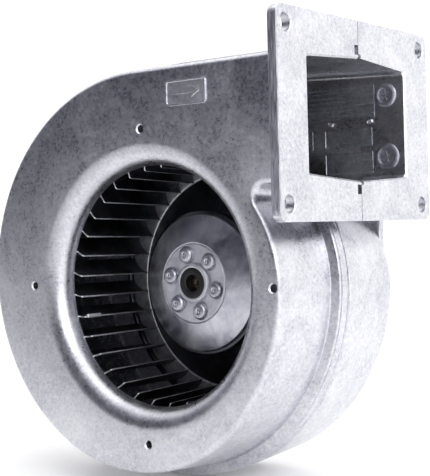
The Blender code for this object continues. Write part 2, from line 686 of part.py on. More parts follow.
def make_motor_plate():
    floor = PLATE_BACK - PLATE_FLOOR
    plate = plug("motor_plate", [
        (0, floor), (TUBE_INNER, floor), (TUBE_INNER, TUBE_FRONT), (TUBE_OUTER, TUBE_FRONT),
        (TUBE_OUTER, floor), (PLATE_FLAT - PLATE_WALL, floor),
        (PLATE_FOOT - PLATE_WALL, PLATE_FRONT), (PLATE_RADIUS, PLATE_FRONT),
        (PLATE_RADIUS, PLATE_FRONT + PLATE_WALL - PLATE_CHAMFER),
        (PLATE_RADIUS - PLATE_CHAMFER, PLATE_FRONT + PLATE_WALL), (PLATE_FOOT, PLATE_FRONT + PLATE_WALL),
        (PLATE_FLAT + 2 * PLATE_CHAMFER, PLATE_BACK - PLATE_CHAMFER), (PLATE_FLAT, PLATE_BACK),
        (0, PLATE_BACK)],
        CAST_ALUMINIUM, HOUSING, 36)
    holes = round_cutters("plate_holes", HOLE_CLEARANCE, PLATE_FRONT - OVERCUT, PLATE_BACK,
                          motor_screw_places(), DRILL_SIDES)
    combine(plate, holes, "DIFFERENCE")
    entry = round_cutters("gland_entry", GLAND_HOLE, floor - OVERCUT, PLATE_BACK + OVERCUT,
                          [(GLAND_OFFSET, 270.0)], GLAND_SIDES)
    combine(plate, entry, "DIFFERENCE")
    inner_end = floor - GLAND_TAIL
    seat = PLATE_BACK + FIT_GAP
    gland = ring("cable_gland", [
        (GLAND_BORE, inner_end), (GLAND_HOLE - FIT_GAP, inner_end), (GLAND_HOLE - FIT_GAP, seat),
        (GLAND_FLANGE, seat), (GLAND_FLANGE - GLAND_SLANT, seat + GLAND_FLANGE_HEIGHT),
        (GLAND_BORE, seat + GLAND_FLANGE_HEIGHT)], RUBBER, HOUSING, GLAND_SIDES)
    place(gland, GLAND_OFFSET, 270.0)


def tooth_angles():
    return [360.0 * i / TOOTH_COUNT for i in range(TOOTH_COUNT)]


def make_stator():
    core = ring("stator_core", tube_profile(STATOR_INNER, STATOR_OUTER, STATOR_FRONT, STATOR_REAR),
                LAMINATED_STEEL, HOUSING, 40)
    yoke = STATOR_INNER + YOKE_WALL
    shoe = STATOR_OUTER - SHOE
    half_pitch = 180.0 / TOOTH_COUNT

    def build(shape):
        for angle in tooth_angles():
            low = half_pitch * 2 + angle - half_pitch
            turn = Matrix.Rotation(math.radians(-low), 4, "Y")
            inner_half = yoke * math.tan(math.radians(half_pitch)) - TOOTH_WIDTH / 2 / math.cos(
                math.radians(half_pitch))
            outer_half = shoe * math.tan(math.radians(half_pitch)) - TOOTH_WIDTH / 2 / math.cos(
                math.radians(half_pitch))
            corners = [(yoke, -inner_half), (shoe, -outer_half), (shoe, -SLOT_MOUTH / 2),
                       (STATOR_OUTER + OVERCUT, -SLOT_MOUTH / 2), (STATOR_OUTER + OVERCUT, SLOT_MOUTH / 2),
                       (shoe, SLOT_MOUTH / 2), (shoe, outer_half), (yoke, inner_half)]
            front = [shape.verts.new(turn @ Vector((x, STATOR_FRONT - OVERCUT, z))) for x, z in corners]
            face = shape.faces.new(front)
            grown = bmesh.ops.extrude_face_region(shape, geom=[face])
            moved = [v for v in grown["geom"] if isinstance(v, bmesh.types.BMVert)]
            bmesh.ops.translate(shape, verts=moved, vec=(0, STATOR_LENGTH + 2 * OVERCUT, 0))
        bmesh.ops.recalc_face_normals(shape, faces=shape.faces[:])

    combine(core, add_cutter("stator_slots", mesh_from(build, "stator_slots")), "DIFFERENCE")
    coil_inner = yoke + FIT_GAP
    coil_outer = shoe - FIT_GAP
    half_tooth = TOOTH_WIDTH / 2 + FIT_GAP
    front = STATOR_FRONT - FIT_GAP
    rear = STATOR_REAR + FIT_GAP
    coil_mesh = block_mesh("coil", (coil_inner, front - COIL_HEAD, -half_tooth - COIL_BUILD),
                           (coil_outer, rear + COIL_HEAD, half_tooth + COIL_BUILD))
    window = block_mesh("coil_window", (coil_inner - OVERCUT, front, -half_tooth),
                        (coil_outer + OVERCUT, rear, half_tooth))
    for number, angle in enumerate(tooth_angles(), 1):
        coil = add_part(f"coil_{number}", coil_mesh.copy(), COPPER, HOUSING)
        coil.rotation_euler = (0, math.radians(-angle), 0)
        bevel = coil.modifiers.new("rounded", "BEVEL")
        bevel.width = COIL_ROUND
        bevel.segments = 2
        hole = add_cutter(f"coil_window_{number}", window)
        hole.rotation_euler = coil.rotation_euler
        combine(coil, hole, "DIFFERENCE")
    collar = tube_profile(STATOR_INNER, yoke - FIT_GAP, front - INSULATOR_LENGTH, front)
    ring("insulator_front", collar, PLASTIC, HOUSING, 28)
    collar = tube_profile(STATOR_INNER, yoke - FIT_GAP, rear, rear + INSULATOR_LENGTH)
    ring("insulator_rear", collar, PLASTIC, HOUSING, 28)


def make_bearings():
    for name, front in (("front", BEARING_FRONT), ("rear", BEARING_REAR)):
        rear = front + BEARING_WIDTH
        outer = tube_profile(BEARING_RADIUS - BEARING_RING, BEARING_RADIUS, front, rear)
        ring(f"bearing_{name}_outer_ring", outer, BRIGHT_STEEL, HOUSING, 24)
        bore = SHAFT_RADIUS + FIT_GAP
        ring(f"bearing_{name}_inner_ring", tube_profile(bore, bore + BEARING_RING, front, rear),
             BRIGHT_STEEL, ROTOR, 24)


def blade_arc(radius_from, radius_to):
    """Centreline of a blade as (x, z) points for the blade at angle zero. It turns the way the fan turns."""
    points = []
    x, z = radius_from, 0.0
    length = (radius_to - radius_from) / math.cos(math.radians(BLADE_BEND * 0.55))
    for i in range(BLADE_ARC_STEPS):
        points.append((x, z))
        heading = math.radians(-BLADE_BEND * (i + 0.5) / BLADE_ARC_STEPS)
        x += length / BLADE_ARC_STEPS * math.cos(heading)
        z += length / BLADE_ARC_STEPS * math.sin(heading)
    points.append((x, z))
    return points


def make_blade_ring():
    """The blades are what is left of a tube between the slots that the strip was pierced with."""
    tube = tube_profile(BLADE_INNER, BLADE_OUTER, BLADES_FRONT, BLADES_REAR)
    strip = ring("impeller_blades", tube, DARK_STEEL, ROTOR, 2 * BLADE_COUNT)
    arc = blade_arc(BLADE_INNER, BLADE_OUTER)
    first, last = arc[0], arc[-1]
    lead_in = (first[0] - OVERCUT, first[1])
    heading = math.atan2(last[1] - arc[-2][1], last[0] - arc[-2][0])
    lead_out = (last[0] + 2 * OVERCUT * math.cos(heading), last[1] + 2 * OVERCUT * math.sin(heading))
    line = [lead_in] + arc + [lead_out]
    pitch = 360.0 / BLADE_COUNT
    inset = math.degrees(BLADE_SHEET / 2 / BLADE_INNER)

    def turned(point, angle, depth):
        turn = math.radians(angle)
        x, z = point
        return (x * math.cos(turn) - z * math.sin(turn), depth, x * math.sin(turn) + z * math.cos(turn))

    def build(shape):
        for number in range(BLADE_COUNT):
            near = number * pitch + inset
            far = (number + 1) * pitch - inset
            edge = [turned(p, near, BLADES_FRONT + BAND) for p in line]
            edge += [turned(p, far, BLADES_FRONT + BAND) for p in reversed(line)]
            face = shape.faces.new([shape.verts.new(p) for p in edge])
            grown = bmesh.ops.extrude_face_region(shape, geom=[face])
            moved = [v for v in grown["geom"] if isinstance(v, bmesh.types.BMVert)]
            bmesh.ops.translate(shape, verts=moved, vec=(0, BLADE_SPAN - 2 * BAND, 0))
        bmesh.ops.recalc_face_normals(shape, faces=shape.faces[:])

    slots = add_cutter("blade_slots", mesh_from(build, "blade_slots"), ROTOR)
    combine(strip, slots, "DIFFERENCE")
    relief = plug_cutter("band_relief", [
        (0, BLADES_FRONT - OVERCUT), (RING_INNER, BLADES_FRONT - OVERCUT),
        (RING_INNER, BLADES_FRONT + BAND / 2),
        (BLADE_INNER, BLADES_FRONT + BAND * 1.5), (0, BLADES_FRONT + BAND * 1.5)], 2 * BLADE_COUNT, ROTOR)
    combine(strip, relief, "DIFFERENCE")
    for piece in (strip, slots, relief):
        piece.rotation_euler = (0, math.radians(-BLADE_TURN), 0)


def make_impeller_rings():
    fold_inner = BLADE_OUTER + FIT_GAP
    fold_outer = fold_inner + RING_SHEET
    front = IMPELLER_FRONT
    ring("impeller_front_ring", [
        (RING_INNER, front), (fold_outer, front), (fold_outer, front + RING_FOLD),
        (fold_inner, front + RING_FOLD), (fold_inner, front + RING_SHEET), (RING_INNER, front + RING_SHEET)],
        DARK_STEEL, ROTOR, 48)
    rim = BLADES_REAR + FIT_GAP
    collar_inner = CUP_RADIUS + FIT_GAP
    collar_outer = collar_inner + RING_SHEET
    ring("impeller_back_plate", [
        (collar_inner, DISH_TOP), (collar_outer, DISH_TOP), (DISH_RADIUS, rim),
        (fold_inner, rim), (fold_inner, rim - RING_FOLD), (fold_outer, rim - RING_FOLD),
        (fold_outer, rim + RING_SHEET), (DISH_RADIUS - RING_SHEET, rim + RING_SHEET),
        (collar_inner, DISH_TOP + COLLAR_SLANT)], DARK_STEEL, ROTOR, 48)
    outer = BLADE_INNER - FIT_GAP
    clip = add_part("balance_clip", block_mesh(
        "balance_clip", (outer - CLIP_THICKNESS, BLADES_FRONT + CLIP_SET_BACK, -CLIP_WIDTH / 2),
        (outer, BLADES_FRONT + CLIP_SET_BACK + CLIP_LENGTH, CLIP_WIDTH / 2)), BRIGHT_STEEL, ROTOR)
    clip_angle = BLADE_TURN + 360.0 / BLADE_COUNT * CLIP_BLADE
    clip.rotation_euler = (0, math.radians(-clip_angle), 0)


def rivet_places():
    return [(RIVET_CIRCLE, RIVET_TURN + 360.0 * i / RIVET_COUNT) for i in range(RIVET_COUNT)]


def make_rotor():
    skirt_end = CUP_FACE + CUP_LENGTH
    shoulder = CUP_FACE + CUP_CONE
    pocket = HUB_RADIUS + FIT_GAP
    cup = ring("rotor_cup", [
        (BUSH_RADIUS + FIT_GAP, WEB_FRONT), (pocket, WEB_FRONT), (pocket, CUP_FACE),
        (CUP_RADIUS - CUP_SHOULDER, shoulder - CUP_SHOULDER), (CUP_RADIUS, shoulder),
        (CUP_RADIUS, skirt_end), (CUP_INNER, skirt_end), (CUP_INNER, shoulder + CUP_WALL),
        (pocket + CUP_WALL / 2, WEB_REAR),
        (BUSH_RADIUS + FIT_GAP, WEB_REAR)], ROTOR_STEEL, ROTOR, 40)
    hub_front = WEB_FRONT - FIT_GAP - HUB_SHEET
    rim = BUSH_RADIUS + FIT_GAP
    hub = ring("hub_plate", [
        (rim, hub_front - HUB_RIM), (rim + HUB_RIM, hub_front - HUB_RIM), (rim + HUB_RIM, hub_front),
        (HUB_RADIUS - HUB_CHAMFER, hub_front), (HUB_RADIUS, hub_front + HUB_CHAMFER),
        (HUB_RADIUS, hub_front + HUB_SHEET), (rim, hub_front + HUB_SHEET)], ROTOR_STEEL, ROTOR, 30)
    holes = round_cutters("rivet_holes", RIVET_SHANK + FIT_GAP, hub_front - OVERCUT, WEB_REAR + OVERCUT,
                          rivet_places(), DRILL_SIDES, ROTOR)
    combine(cup, holes, "DIFFERENCE")
    combine(hub, holes, "DIFFERENCE")
    seat = hub_front - FIT_GAP
    top = seat - RIVET_HEAD_HEIGHT
    tail = WEB_REAR + FIT_GAP
    for number, (radius, angle) in enumerate(rivet_places(), 1):
        rivet = plug(f"rivet_{number}", [
            (0, top + RIVET_DIMPLE_DEPTH), (RIVET_DIMPLE - RIVET_DIMPLE_DEPTH, top + RIVET_DIMPLE_DEPTH),
            (RIVET_DIMPLE, top), (RIVET_HEAD - RIVET_HEAD_ROUND, top), (RIVET_HEAD, top + RIVET_HEAD_ROUND),
            (RIVET_HEAD, seat), (RIVET_SHANK, seat), (RIVET_SHANK, tail), (RIVET_TAIL, tail),
            (RIVET_TAIL, tail + RIVET_TAIL_HEIGHT), (0, tail + RIVET_TAIL_HEIGHT)],
            BRIGHT_STEEL, ROTOR, RIVET_SIDES)
        place(rivet, radius, angle)
    bush_front = hub_front - BUSH_PROUD
    bush_rear = bush_front + BUSH_LENGTH
    bore = SHAFT_RADIUS + FIT_GAP
    ring("hub_bush", tube_profile(bore, BUSH_RADIUS, bush_front, bush_rear), DARK_PLASTIC, ROTOR, 24)
    shaft_front = bush_front + SHAFT_RECESS
    shaft_rear = BEARING_REAR + BEARING_WIDTH + SHAFT_TAIL
    plug("shaft", [
        (0, shaft_front), (SHAFT_RADIUS - SHAFT_CHAMFER, shaft_front),
        (SHAFT_RADIUS, shaft_front + SHAFT_CHAMFER), (SHAFT_RADIUS, shaft_rear - SHAFT_CHAMFER),
        (SHAFT_RADIUS - SHAFT_CHAMFER, shaft_rear), (0, shaft_rear)], BRIGHT_STEEL, ROTOR, 24)
    clip_front = BEARING_REAR + BEARING_WIDTH + FIT_GAP
    width, thickness = RETAINING_RING
    ring("retaining_ring", tube_profile(bore, bore + width, clip_front, clip_front + thickness),
         BRIGHT_STEEL, ROTOR, 24)
    width, thickness = PRELOAD_WASHER
    washer_rear = BEARING_FRONT - FIT_GAP
    ring("preload_washer", tube_profile(bore, bore + width, washer_rear - thickness, washer_rear),
         BRIGHT_STEEL, ROTOR, 24)
    ring("rotor_core", tube_profile(ROTOR_CORE_INNER, ROTOR_CORE_OUTER, STATOR_FRONT, STATOR_REAR),
         LAMINATED_STEEL, ROTOR, 40)
    for name, front in (("front", STATOR_FRONT - FIT_GAP - END_RING), ("rear", STATOR_REAR + FIT_GAP)):
        ring(f"cage_end_ring_{name}",
             tube_profile(ROTOR_CORE_INNER, ROTOR_CORE_OUTER, front, front + END_RING),
             CAST_ALUMINIUM, ROTOR, 40)


make_front_shell()
make_rear_shell()
make_fasteners()
make_motor_plate()
make_stator()
make_bearings()
make_blade_ring()
make_impeller_rings()
make_rotor()
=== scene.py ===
"""Combustion fan: the looks of a forward-curved blower in a split die-cast scroll.

Pieces are modelled about the fan's own axis, with depths measured back from the flat inlet face, and are
then set down at FAN_AXIS. Lengths are in millimetres and become metres through MM. A profile's corners are
(radius, depth) or (radius, depth, fillet).
"""

import math

import bmesh
import bpy
from mathutils import Matrix, Vector


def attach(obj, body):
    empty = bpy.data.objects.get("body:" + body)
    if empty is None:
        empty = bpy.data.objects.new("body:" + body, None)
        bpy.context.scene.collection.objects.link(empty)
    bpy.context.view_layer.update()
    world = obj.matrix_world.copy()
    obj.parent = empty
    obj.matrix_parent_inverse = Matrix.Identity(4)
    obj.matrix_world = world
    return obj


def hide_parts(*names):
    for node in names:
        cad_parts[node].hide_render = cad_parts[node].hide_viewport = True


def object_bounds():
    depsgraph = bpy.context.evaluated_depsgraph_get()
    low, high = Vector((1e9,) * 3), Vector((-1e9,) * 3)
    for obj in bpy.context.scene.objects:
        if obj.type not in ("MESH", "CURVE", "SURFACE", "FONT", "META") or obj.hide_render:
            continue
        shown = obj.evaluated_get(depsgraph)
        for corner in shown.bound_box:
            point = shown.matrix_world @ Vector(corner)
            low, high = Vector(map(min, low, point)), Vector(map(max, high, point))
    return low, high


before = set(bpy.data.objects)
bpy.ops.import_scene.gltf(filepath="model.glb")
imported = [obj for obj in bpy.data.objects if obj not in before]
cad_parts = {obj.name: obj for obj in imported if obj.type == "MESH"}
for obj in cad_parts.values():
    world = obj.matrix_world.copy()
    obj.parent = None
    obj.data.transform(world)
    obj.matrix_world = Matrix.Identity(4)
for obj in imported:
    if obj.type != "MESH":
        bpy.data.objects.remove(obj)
cad_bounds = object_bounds()

MM = 0.001
AXIS_PLACE = (-85.0, -41.0, -67.2)
FAN_AXIS = Vector(AXIS_PLACE) * MM

# Casing, in mm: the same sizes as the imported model.
REACH = 85.0
SPLIT = 41.0
DEPTH = 82.2
FACE_WALL = 3.0
SIDE_WALL = 3.5
SEAM = 0.3
DRAFT = math.tan(math.radians(3.65))
FACE_ROUND = 2.5
BACK_ROUND = 5.2
SCROLL_START = 71.3
SCROLL_GROWTH = 25.0
GROWTH_TURN = 215.0
TONGUE_DIP = 2.5
TONGUE_TURN = 30.0
DUCT_TOP = 93.8
DUCT_FLOOR = 41.2
TONGUE_ROUND = 5.3
REAR_BULGE = 4.5
LIP_DEPTH = 7.2
LIP_HEIGHT = 4.6
SPIGOT = 1.4
FLANGE_RISE = 67.2            # flange's middle above the fan axis
FLANGE_HALF = 58.5
FLANGE_HEIGHT = 82.7
FLANGE_THICK = 4.3
FLANGE_CORNER = 4.5
FLANGE_HOLE = 3.5
HOLES_ACROSS = 104.0
HOLES_UP = 68.9
THROAT = 52.7
NOZZLE_ROUND = 9.0
NOZZLE_WALL = 2.5
NOZZLE_DEPTH = 9.8
INLET_PLACES = [(68.0, angle) for angle in (0, 90, 180, 270)]           # circle and angle
MOTOR_PLACES = [(57.0, angle) for angle in (45.0, 135.0, 225.0, 315.0)]
GLAND_PLACE = (23.0, 270.0)
LUG_ANGLES = (125.0, 160.0, 195.0, 230.0)
LUG_RADIUS = 6.0
LUG_OFFSET = 3.4              # lug's middle past the lip
TAP_HOLE = 1.65               # radius, for the M4 inlet taps
SCREW_HOLE = 2.3              # radius, for the casing's and motor's screws
NOTCH = 4.0
# The front half's lip: its foot's heights over the wall, then its top's heights over LIP_HEIGHT, each at
# a depth behind the lip's front or before the seam.
LIP_FOOT = ((-0.45, 0.06), (-0.15, 0.28), (0.0, 0.75))
LIP_AT_FRONT = ((0.12, -0.75), (0.3, -0.35), (0.6, -0.1), (1.0, -0.05), (1.3, -0.2), (1.45, -0.55),
                (1.85, -0.55), (2.0, -0.1), (2.4, 0.12))
LIP_AT_SEAM = ((2.2, -0.1), (1.7, -0.2), (1.5, -0.5), (1.2, -0.5), (1.0, -0.05), (0.6, 0.0),
               (0.25, -0.2), (0.0, -0.7))

# Relief on the rear wall, in mm: (x, z) corners, stamps as (x, z, radius), chips as (x, z, turn).
RELIEF_FRAMES = (((43.0, 59.4), (68.0, 68.0)), ((43.0, 47.2), (68.2, 57.2)), ((10.0, 59.4), (36.5, 68.0)))
RELIEF_GRID = ((5.0, 72.2), (69.6, 86.8))
RELIEF_ROWS = 7
RELIEF_STAMPS = ((75.4, 81.4, 4.5), (75.6, 54.2, 5.1))
CHIPS = ((46.6, 70.4, 25.0), (67.2, 70.3, -15.0))

# Impeller and hub, in mm.
BLADE_COUNT = 34
BLADE_INNER = 49.6
BLADE_OUTER = 60.0
BLADES_FRONT = 12.0
BLADES_REAR = 61.0
BLADE_SHEET = 0.6
BLADE_ARC = 11.6              # radius a blade is rolled to
BLADE_TURN = 62.0             # degrees that a blade turns forward
FIRST_BLADE = 6.7             # degrees from +X
RING_INNER = 55.5
RING_OUTER = 61.1
RING_FRONT = 10.9
RING_SHEET = 0.8
RING_FOLD = 3.4
CLIP_BLADE = 18               # the blade that carries the balance clip
CRIMP_ANGLES = (18, 45, 76, 106, 130, 156, 183, 216, 243, 270, 297, 324, 351)
RIVET_PLACES = [(13.3, 46.0 + 60.0 * step) for step in range(6)]
RIVET_HOLE = 2.3              # radius

# Fineness: faces round a turned piece.
FINE = 180
SMOOTH = 128
SMALL = 40

# Light: the way to the dark flag, from the fan.
FLAG_DIRECTION = Vector((-0.36, -1.0, -0.30)).normalized()

# Camera: its place from the fan's axis, in units of the inlet holes' circle.
CAMERA_UNIT = 68
CAMERA_PLACE = (4.96408491, -5.55579749, 0.34132315)
CAMERA_TURN = (38.25545423, 0.38969726, -1.5205766)     # heading, tilt and roll, in degrees
CAMERA_SENSOR = 36.0
FRAME = 476.0                                           # the units of the focal length and the shift
CAMERA_FOCUS = 1176.344
CAMERA_SHIFT = (-0.114, 1.168)


# Shaping helpers.

def clear_selection():
    if bpy.context.object is not None and bpy.context.object.mode != "OBJECT":
        bpy.ops.object.mode_set(mode="OBJECT")
    bpy.ops.object.select_all(action="DESELECT")


def named(name):
    piece = bpy.context.object
    piece.name = name
    piece.data.name = name
    return piece


def edit(piece, pick=None, kind="FACE"):
    """Opens a piece in edit mode with the faces, edges or corners picked that the test accepts."""
    clear_selection()
    bpy.context.view_layer.objects.active = piece
    piece.select_set(True)
    bpy.ops.object.mode_set(mode="EDIT")
    bpy.ops.mesh.select_mode(type=kind)
    bpy.ops.mesh.select_all(action="SELECT" if pick is None else "DESELECT")
    if pick is None:
        return
    shape = bmesh.from_edit_mesh(piece.data)
    pools = {"FACE": shape.faces, "EDGE": shape.edges, "VERT": shape.verts}
    for element in pools[kind]:
        if pick(element):
            element.select_set(True)
    shape.select_flush_mode()
    bmesh.update_edit_mesh(piece.data)


def close_edit():
    bpy.ops.object.mode_set(mode="OBJECT")


def close_facing_out():
    """Turns every face outward and closes edit mode."""
    bpy.ops.mesh.select_all(action="SELECT")
    bpy.ops.mesh.normals_make_consistent(inside=False)
    close_edit()


def loop_of(name, places, fill="NGON"):
    """A flat loop through the places, in metres."""
    clear_selection()
    bpy.ops.mesh.primitive_circle_add(vertices=len(places), radius=MM, fill_type=fill)
    piece = named(name)
    for corner, place in zip(piece.data.vertices, places):
        corner.co = place
    return piece


def settle(piece):
    """Puts the piece's place and turn into its mesh."""
    clear_selection()
    bpy.context.view_layer.objects.active = piece
    piece.select_set(True)
    bpy.ops.object.transform_apply(location=True, rotation=True, scale=True)
    return piece


def combine(piece, tool, operation):
    clear_selection()
    bpy.context.view_layer.objects.active = piece
    piece.select_set(True)
    step = piece.modifiers.new(operation.lower(), "BOOLEAN")
    step.operation = operation
    step.solver = "EXACT"
    step.object = tool
    bpy.ops.object.modifier_apply(modifier=step.name)
    bpy.data.objects.remove(tool)
    return piece


def cut(piece, *tools):
    for tool in tools:
        combine(piece, tool, "DIFFERENCE")


def joined(pieces, name):
    clear_selection()
    for piece in pieces:
        piece.select_set(True)
    bpy.context.view_layer.objects.active = pieces[0]
    if len(pieces) > 1:
        bpy.ops.object.join()
    return named(name)


def copied(piece, name):
    twin = piece.copy()
    twin.data = piece.data.copy()
    twin.name = name
    twin.data.name = name
    bpy.context.scene.collection.objects.link(twin)
    return twin


def on_circle(radius, angle, depth=0.0):
    """A point at an angle that runs anticlockwise from +X, seen from the inlet."""
    turn = math.radians(angle)
    return Vector((radius * math.cos(turn), depth, radius * math.sin(turn)))


def set_down(piece, radius, angle, depth=0.0, turn=0.0):
    """Moves a piece that was made on the axis to a place on a circle round it."""
    piece.rotation_euler = (0, math.radians(-turn), 0)
    piece.location = on_circle(radius, angle, depth) * MM
    return settle(piece)


def filleted(corners, steps=5, closed=True):
    """(radius, depth, fillet) corners with each one rounded by its own fillet; two numbers keep it sharp."""
    points = []
    last = len(corners) - 1
    for place, corner in enumerate(corners):
        here = Vector(corner[:2])
        if len(corner) < 3 or (not closed and place in (0, last)):
            points.append(here)
            continue
        to_last = Vector(corners[place - 1][:2]) - here
        to_next = Vector(corners[(place + 1) % len(corners)][:2]) - here
        half = to_last.angle(to_next) / 2
        reach = min(corner[2] / math.tan(half), 0.49 * to_last.length, 0.49 * to_next.length)
        round_size = reach * math.tan(half)
        bisector = (to_last.normalized() + to_next.normalized()).normalized()
        centre = here + bisector * (round_size / math.sin(half))
        first = here + to_last.normalized() * reach - centre
        final = here + to_next.normalized() * reach - centre
        for step in range(steps + 1):
            points.append(centre + first.slerp(final, step / steps))
    return points


def turned(name, profile, segments=SMOOTH, rod=False):
    """Spins (radius, depth) points about the fan axis. A rod's profile starts and ends on the axis."""
    piece = loop_of(name, [Vector((radius, depth, 0)) * MM for radius, depth in profile], "NOTHING")
    if rod:
        ends = {0, len(profile) - 1}
        edit(piece, lambda edge: {v.index for v in edge.verts} == ends, "EDGE")
        bpy.ops.mesh.delete(type="EDGE")
        close_edit()
    edit(piece)
    bpy.ops.mesh.spin(steps=segments, angle=2 * math.pi, center=(0, 0, 0), axis=(0, 1, 0))
    bpy.ops.mesh.select_all(action="SELECT")
    bpy.ops.mesh.remove_doubles(threshold=0.002 * MM)
    close_facing_out()
    return piece


def block(name, low, high, bevel=0.0, pick=None, segments=3):
    """A cube stretched between two corners, with all its edges bevelled, or those the test picks."""
    clear_selection()
    middle = [(a + b) / 2 * MM for a, b in zip(low, high)]
    size = [(b - a) * MM for a, b in zip(low, high)]
    bpy.ops.mesh.primitive_cube_add(size=1, location=middle, scale=size)
    piece = settle(named(name))
    if bevel:
        edit(piece, pick, "EDGE")
        bpy.ops.mesh.bevel(offset=bevel * MM, segments=segments, affect="EDGES")
        close_edit()
    return piece


def runs_along(axis, test=None):
    """A test for edges that run along an axis, and pass a test on their middle, in mm."""
    def pick(edge):
        run = edge.verts[1].co - edge.verts[0].co
        along = abs(run[axis]) > 0.99 * run.length
        return along and (test is None or test((edge.verts[0].co + edge.verts[1].co) / 2 / MM))
    return pick


# The casing's outline.

def scroll_radius(turn):
    """Radius where the scroll has turned this many degrees clockwise from +X, seen from the inlet."""
    if turn < 0:
        return SCROLL_START - TONGUE_DIP * (turn / TONGUE_TURN) ** 2
    return SCROLL_START + SCROLL_GROWTH * (1 - math.cos(math.pi * turn / GROWTH_TURN)) / 2


def angles_between(first, last, step):
    count = max(1, round(abs(last - first) / step))
    return [first + (last - first) * part / count for part in range(count + 1)]


def outline(grow, bulge, mouth, step=2.0):
    """The outline as (x, z) points in mm, grown outward by grow, and by bulge more on the scroll."""
    crown_turn = 360.0 - GROWTH_TURN
    rise = math.sin(math.radians(crown_turn))
    largest = SCROLL_START + SCROLL_GROWTH
    crown = (DUCT_TOP - largest * rise) / (1 - rise)
    crown_centre = on_circle(largest - crown, crown_turn)
    places = [Vector((mouth, 0, DUCT_TOP + grow))]
    for angle in angles_between(90.0, crown_turn, step):
        places.append(crown_centre + on_circle(crown + grow + bulge, angle))
    for angle in angles_between(crown_turn, 360.0, step)[1:]:
        places.append(on_circle(scroll_radius(360.0 - angle) + grow + bulge, angle))
    tongue = max(TONGUE_ROUND - grow, 1.5)
    last = TONGUE_TURN
    for _ in range(12):
        distance = scroll_radius(-last) + grow + tongue
        last = math.degrees(math.asin((DUCT_FLOOR - grow - tongue) / distance))
    for angle in angles_between(0.0, last, last / 16)[1:]:
        places.append(on_circle(scroll_radius(-angle) + grow + bulge * (1 - angle / last), angle))
    corner = on_circle(distance, last)
    for angle in angles_between(last + 180.0, 90.0, (last + 90.0) / 20)[1:]:
        places.append(corner + on_circle(tongue, angle))
    places.append(Vector((mouth, 0, DUCT_FLOOR - grow)))
    return [(place.x, place.z) for place in places]


def lofted(name, sections, mouth):
    """A closed body through (depth, grow, bulge) sections of the outline, extruded from front to rear."""
    rings = []
    for depth, grow, bulge in sections:
        rings.append([Vector((x, depth, z)) * MM for x, z in outline(grow, bulge, mouth)])
    piece = loop_of(name, rings[0])
    edit(piece)
    for earlier, later in zip(rings, rings[1:]):
        bpy.ops.mesh.extrude_region()
        shape = bmesh.from_edit_mesh(piece.data)
        for corner in [v for v in shape.verts if v.select]:
            nearest = min(range(len(earlier)), key=lambda i: (earlier[i] - corner.co).length_squared)
            corner.co = later[nearest]
        bmesh.update_edit_mesh(piece.data)
    close_facing_out()
    return piece


def drafted(depth):
    """How far the walls have spread at a depth, from either end to the parting plane."""
    if depth <= SPLIT:
        return DRAFT * (depth - FACE_ROUND)
    return DRAFT * (2 * SPLIT - FACE_ROUND - depth)


def rounded_sections(first, last, steps, bulge=0.0):
    """Sections of a quarter round between two (depth, grow) places, leaving the first along grow."""
    sections = []
    for step in range(steps + 1):
        turn = math.radians(90.0 * step / steps)
        depth = first[0] + (last[0] - first[0]) * (1 - math.cos(turn))
        grow = first[1] + (last[1] - first[1]) * math.sin(turn)
        sections.append((depth, grow, bulge))
    return sections


def drill(radius, front, rear, place, chamfer=0.0, segments=32):
    """A drill along the fan axis's direction, whose mouth at the front opens by the chamfer."""
    profile = [(0, front - 1), (radius + chamfer + (1 if chamfer else 0), front - 1)]
    if chamfer:
        profile += [(radius, front + chamfer)]
    profile += [(radius, rear), (0, rear + radius * 0.5)]
    return set_down(turned("drill", profile, segments, rod=True), *place)


def flange_drill(depth, height):
    """A drill along X through the flange, opening by a chamfer at the mating face."""
    tool = turned("flange_drill", [(0, -8), (FLANGE_HOLE, -8), (FLANGE_HOLE, -0.45),
                                   (FLANGE_HOLE + 1.45, 1.0), (0, 1.0)], SMALL, rod=True)
    tool.rotation_euler = (0, 0, math.radians(-90))
    tool.location = Vector((REACH, depth, FLANGE_RISE + height)) * MM
    return settle(tool)


def mouth_chamfer():
    """A tapered six-sided plug that breaks the edges of the outlet window."""
    inner_front = FACE_WALL
    inner_rear = DEPTH - FACE_WALL

    def corners(grow, x):
        side = drafted(FACE_WALL) - SIDE_WALL + grow
        split = drafted(SPLIT) - SIDE_WALL + grow
        flat = [(inner_front - grow, DUCT_FLOOR - side), (SPLIT, DUCT_FLOOR - split),
                (inner_rear + grow, DUCT_FLOOR - side), (inner_rear + grow, DUCT_TOP + side),
                (SPLIT, DUCT_TOP + split), (inner_front - grow, DUCT_TOP + side)]
        return [Vector((x, y, z)) * MM for y, z in flat]

    near = corners(-0.8, REACH - 1.6)
    far = corners(0.8, REACH + 0.1)
    piece = loop_of("window_chamfer", near)
    edit(piece)
    bpy.ops.mesh.extrude_region()
    shape = bmesh.from_edit_mesh(piece.data)
    for corner in [v for v in shape.verts if v.select]:
        corner.co = far[min(range(len(near)), key=lambda i: (near[i] - corner.co).length)]
    bmesh.update_edit_mesh(piece.data)
    close_facing_out()
    return piece


def lug_places():
    past_wall = LIP_HEIGHT + drafted(SPLIT) + LUG_OFFSET
    return [(scroll_radius(360.0 - angle) + past_wall, angle) for angle in LUG_ANGLES]


def add_lugs(shell, front, rear, front_round, rear_round):
    for radius, angle in lug_places():
        lug = turned("lug", filleted([(0, front), (LUG_RADIUS, front, front_round),
                                      (LUG_RADIUS, rear, rear_round), (0, rear)], closed=False),
                     SMALL, rod=True)
        combine(shell, set_down(lug, radius, angle), "UNION")


def cut_flange_holes(shell, depth):
    cut(shell, *[flange_drill(depth, height) for height in (-HOLES_UP / 2, HOLES_UP / 2)])


# Finishes.

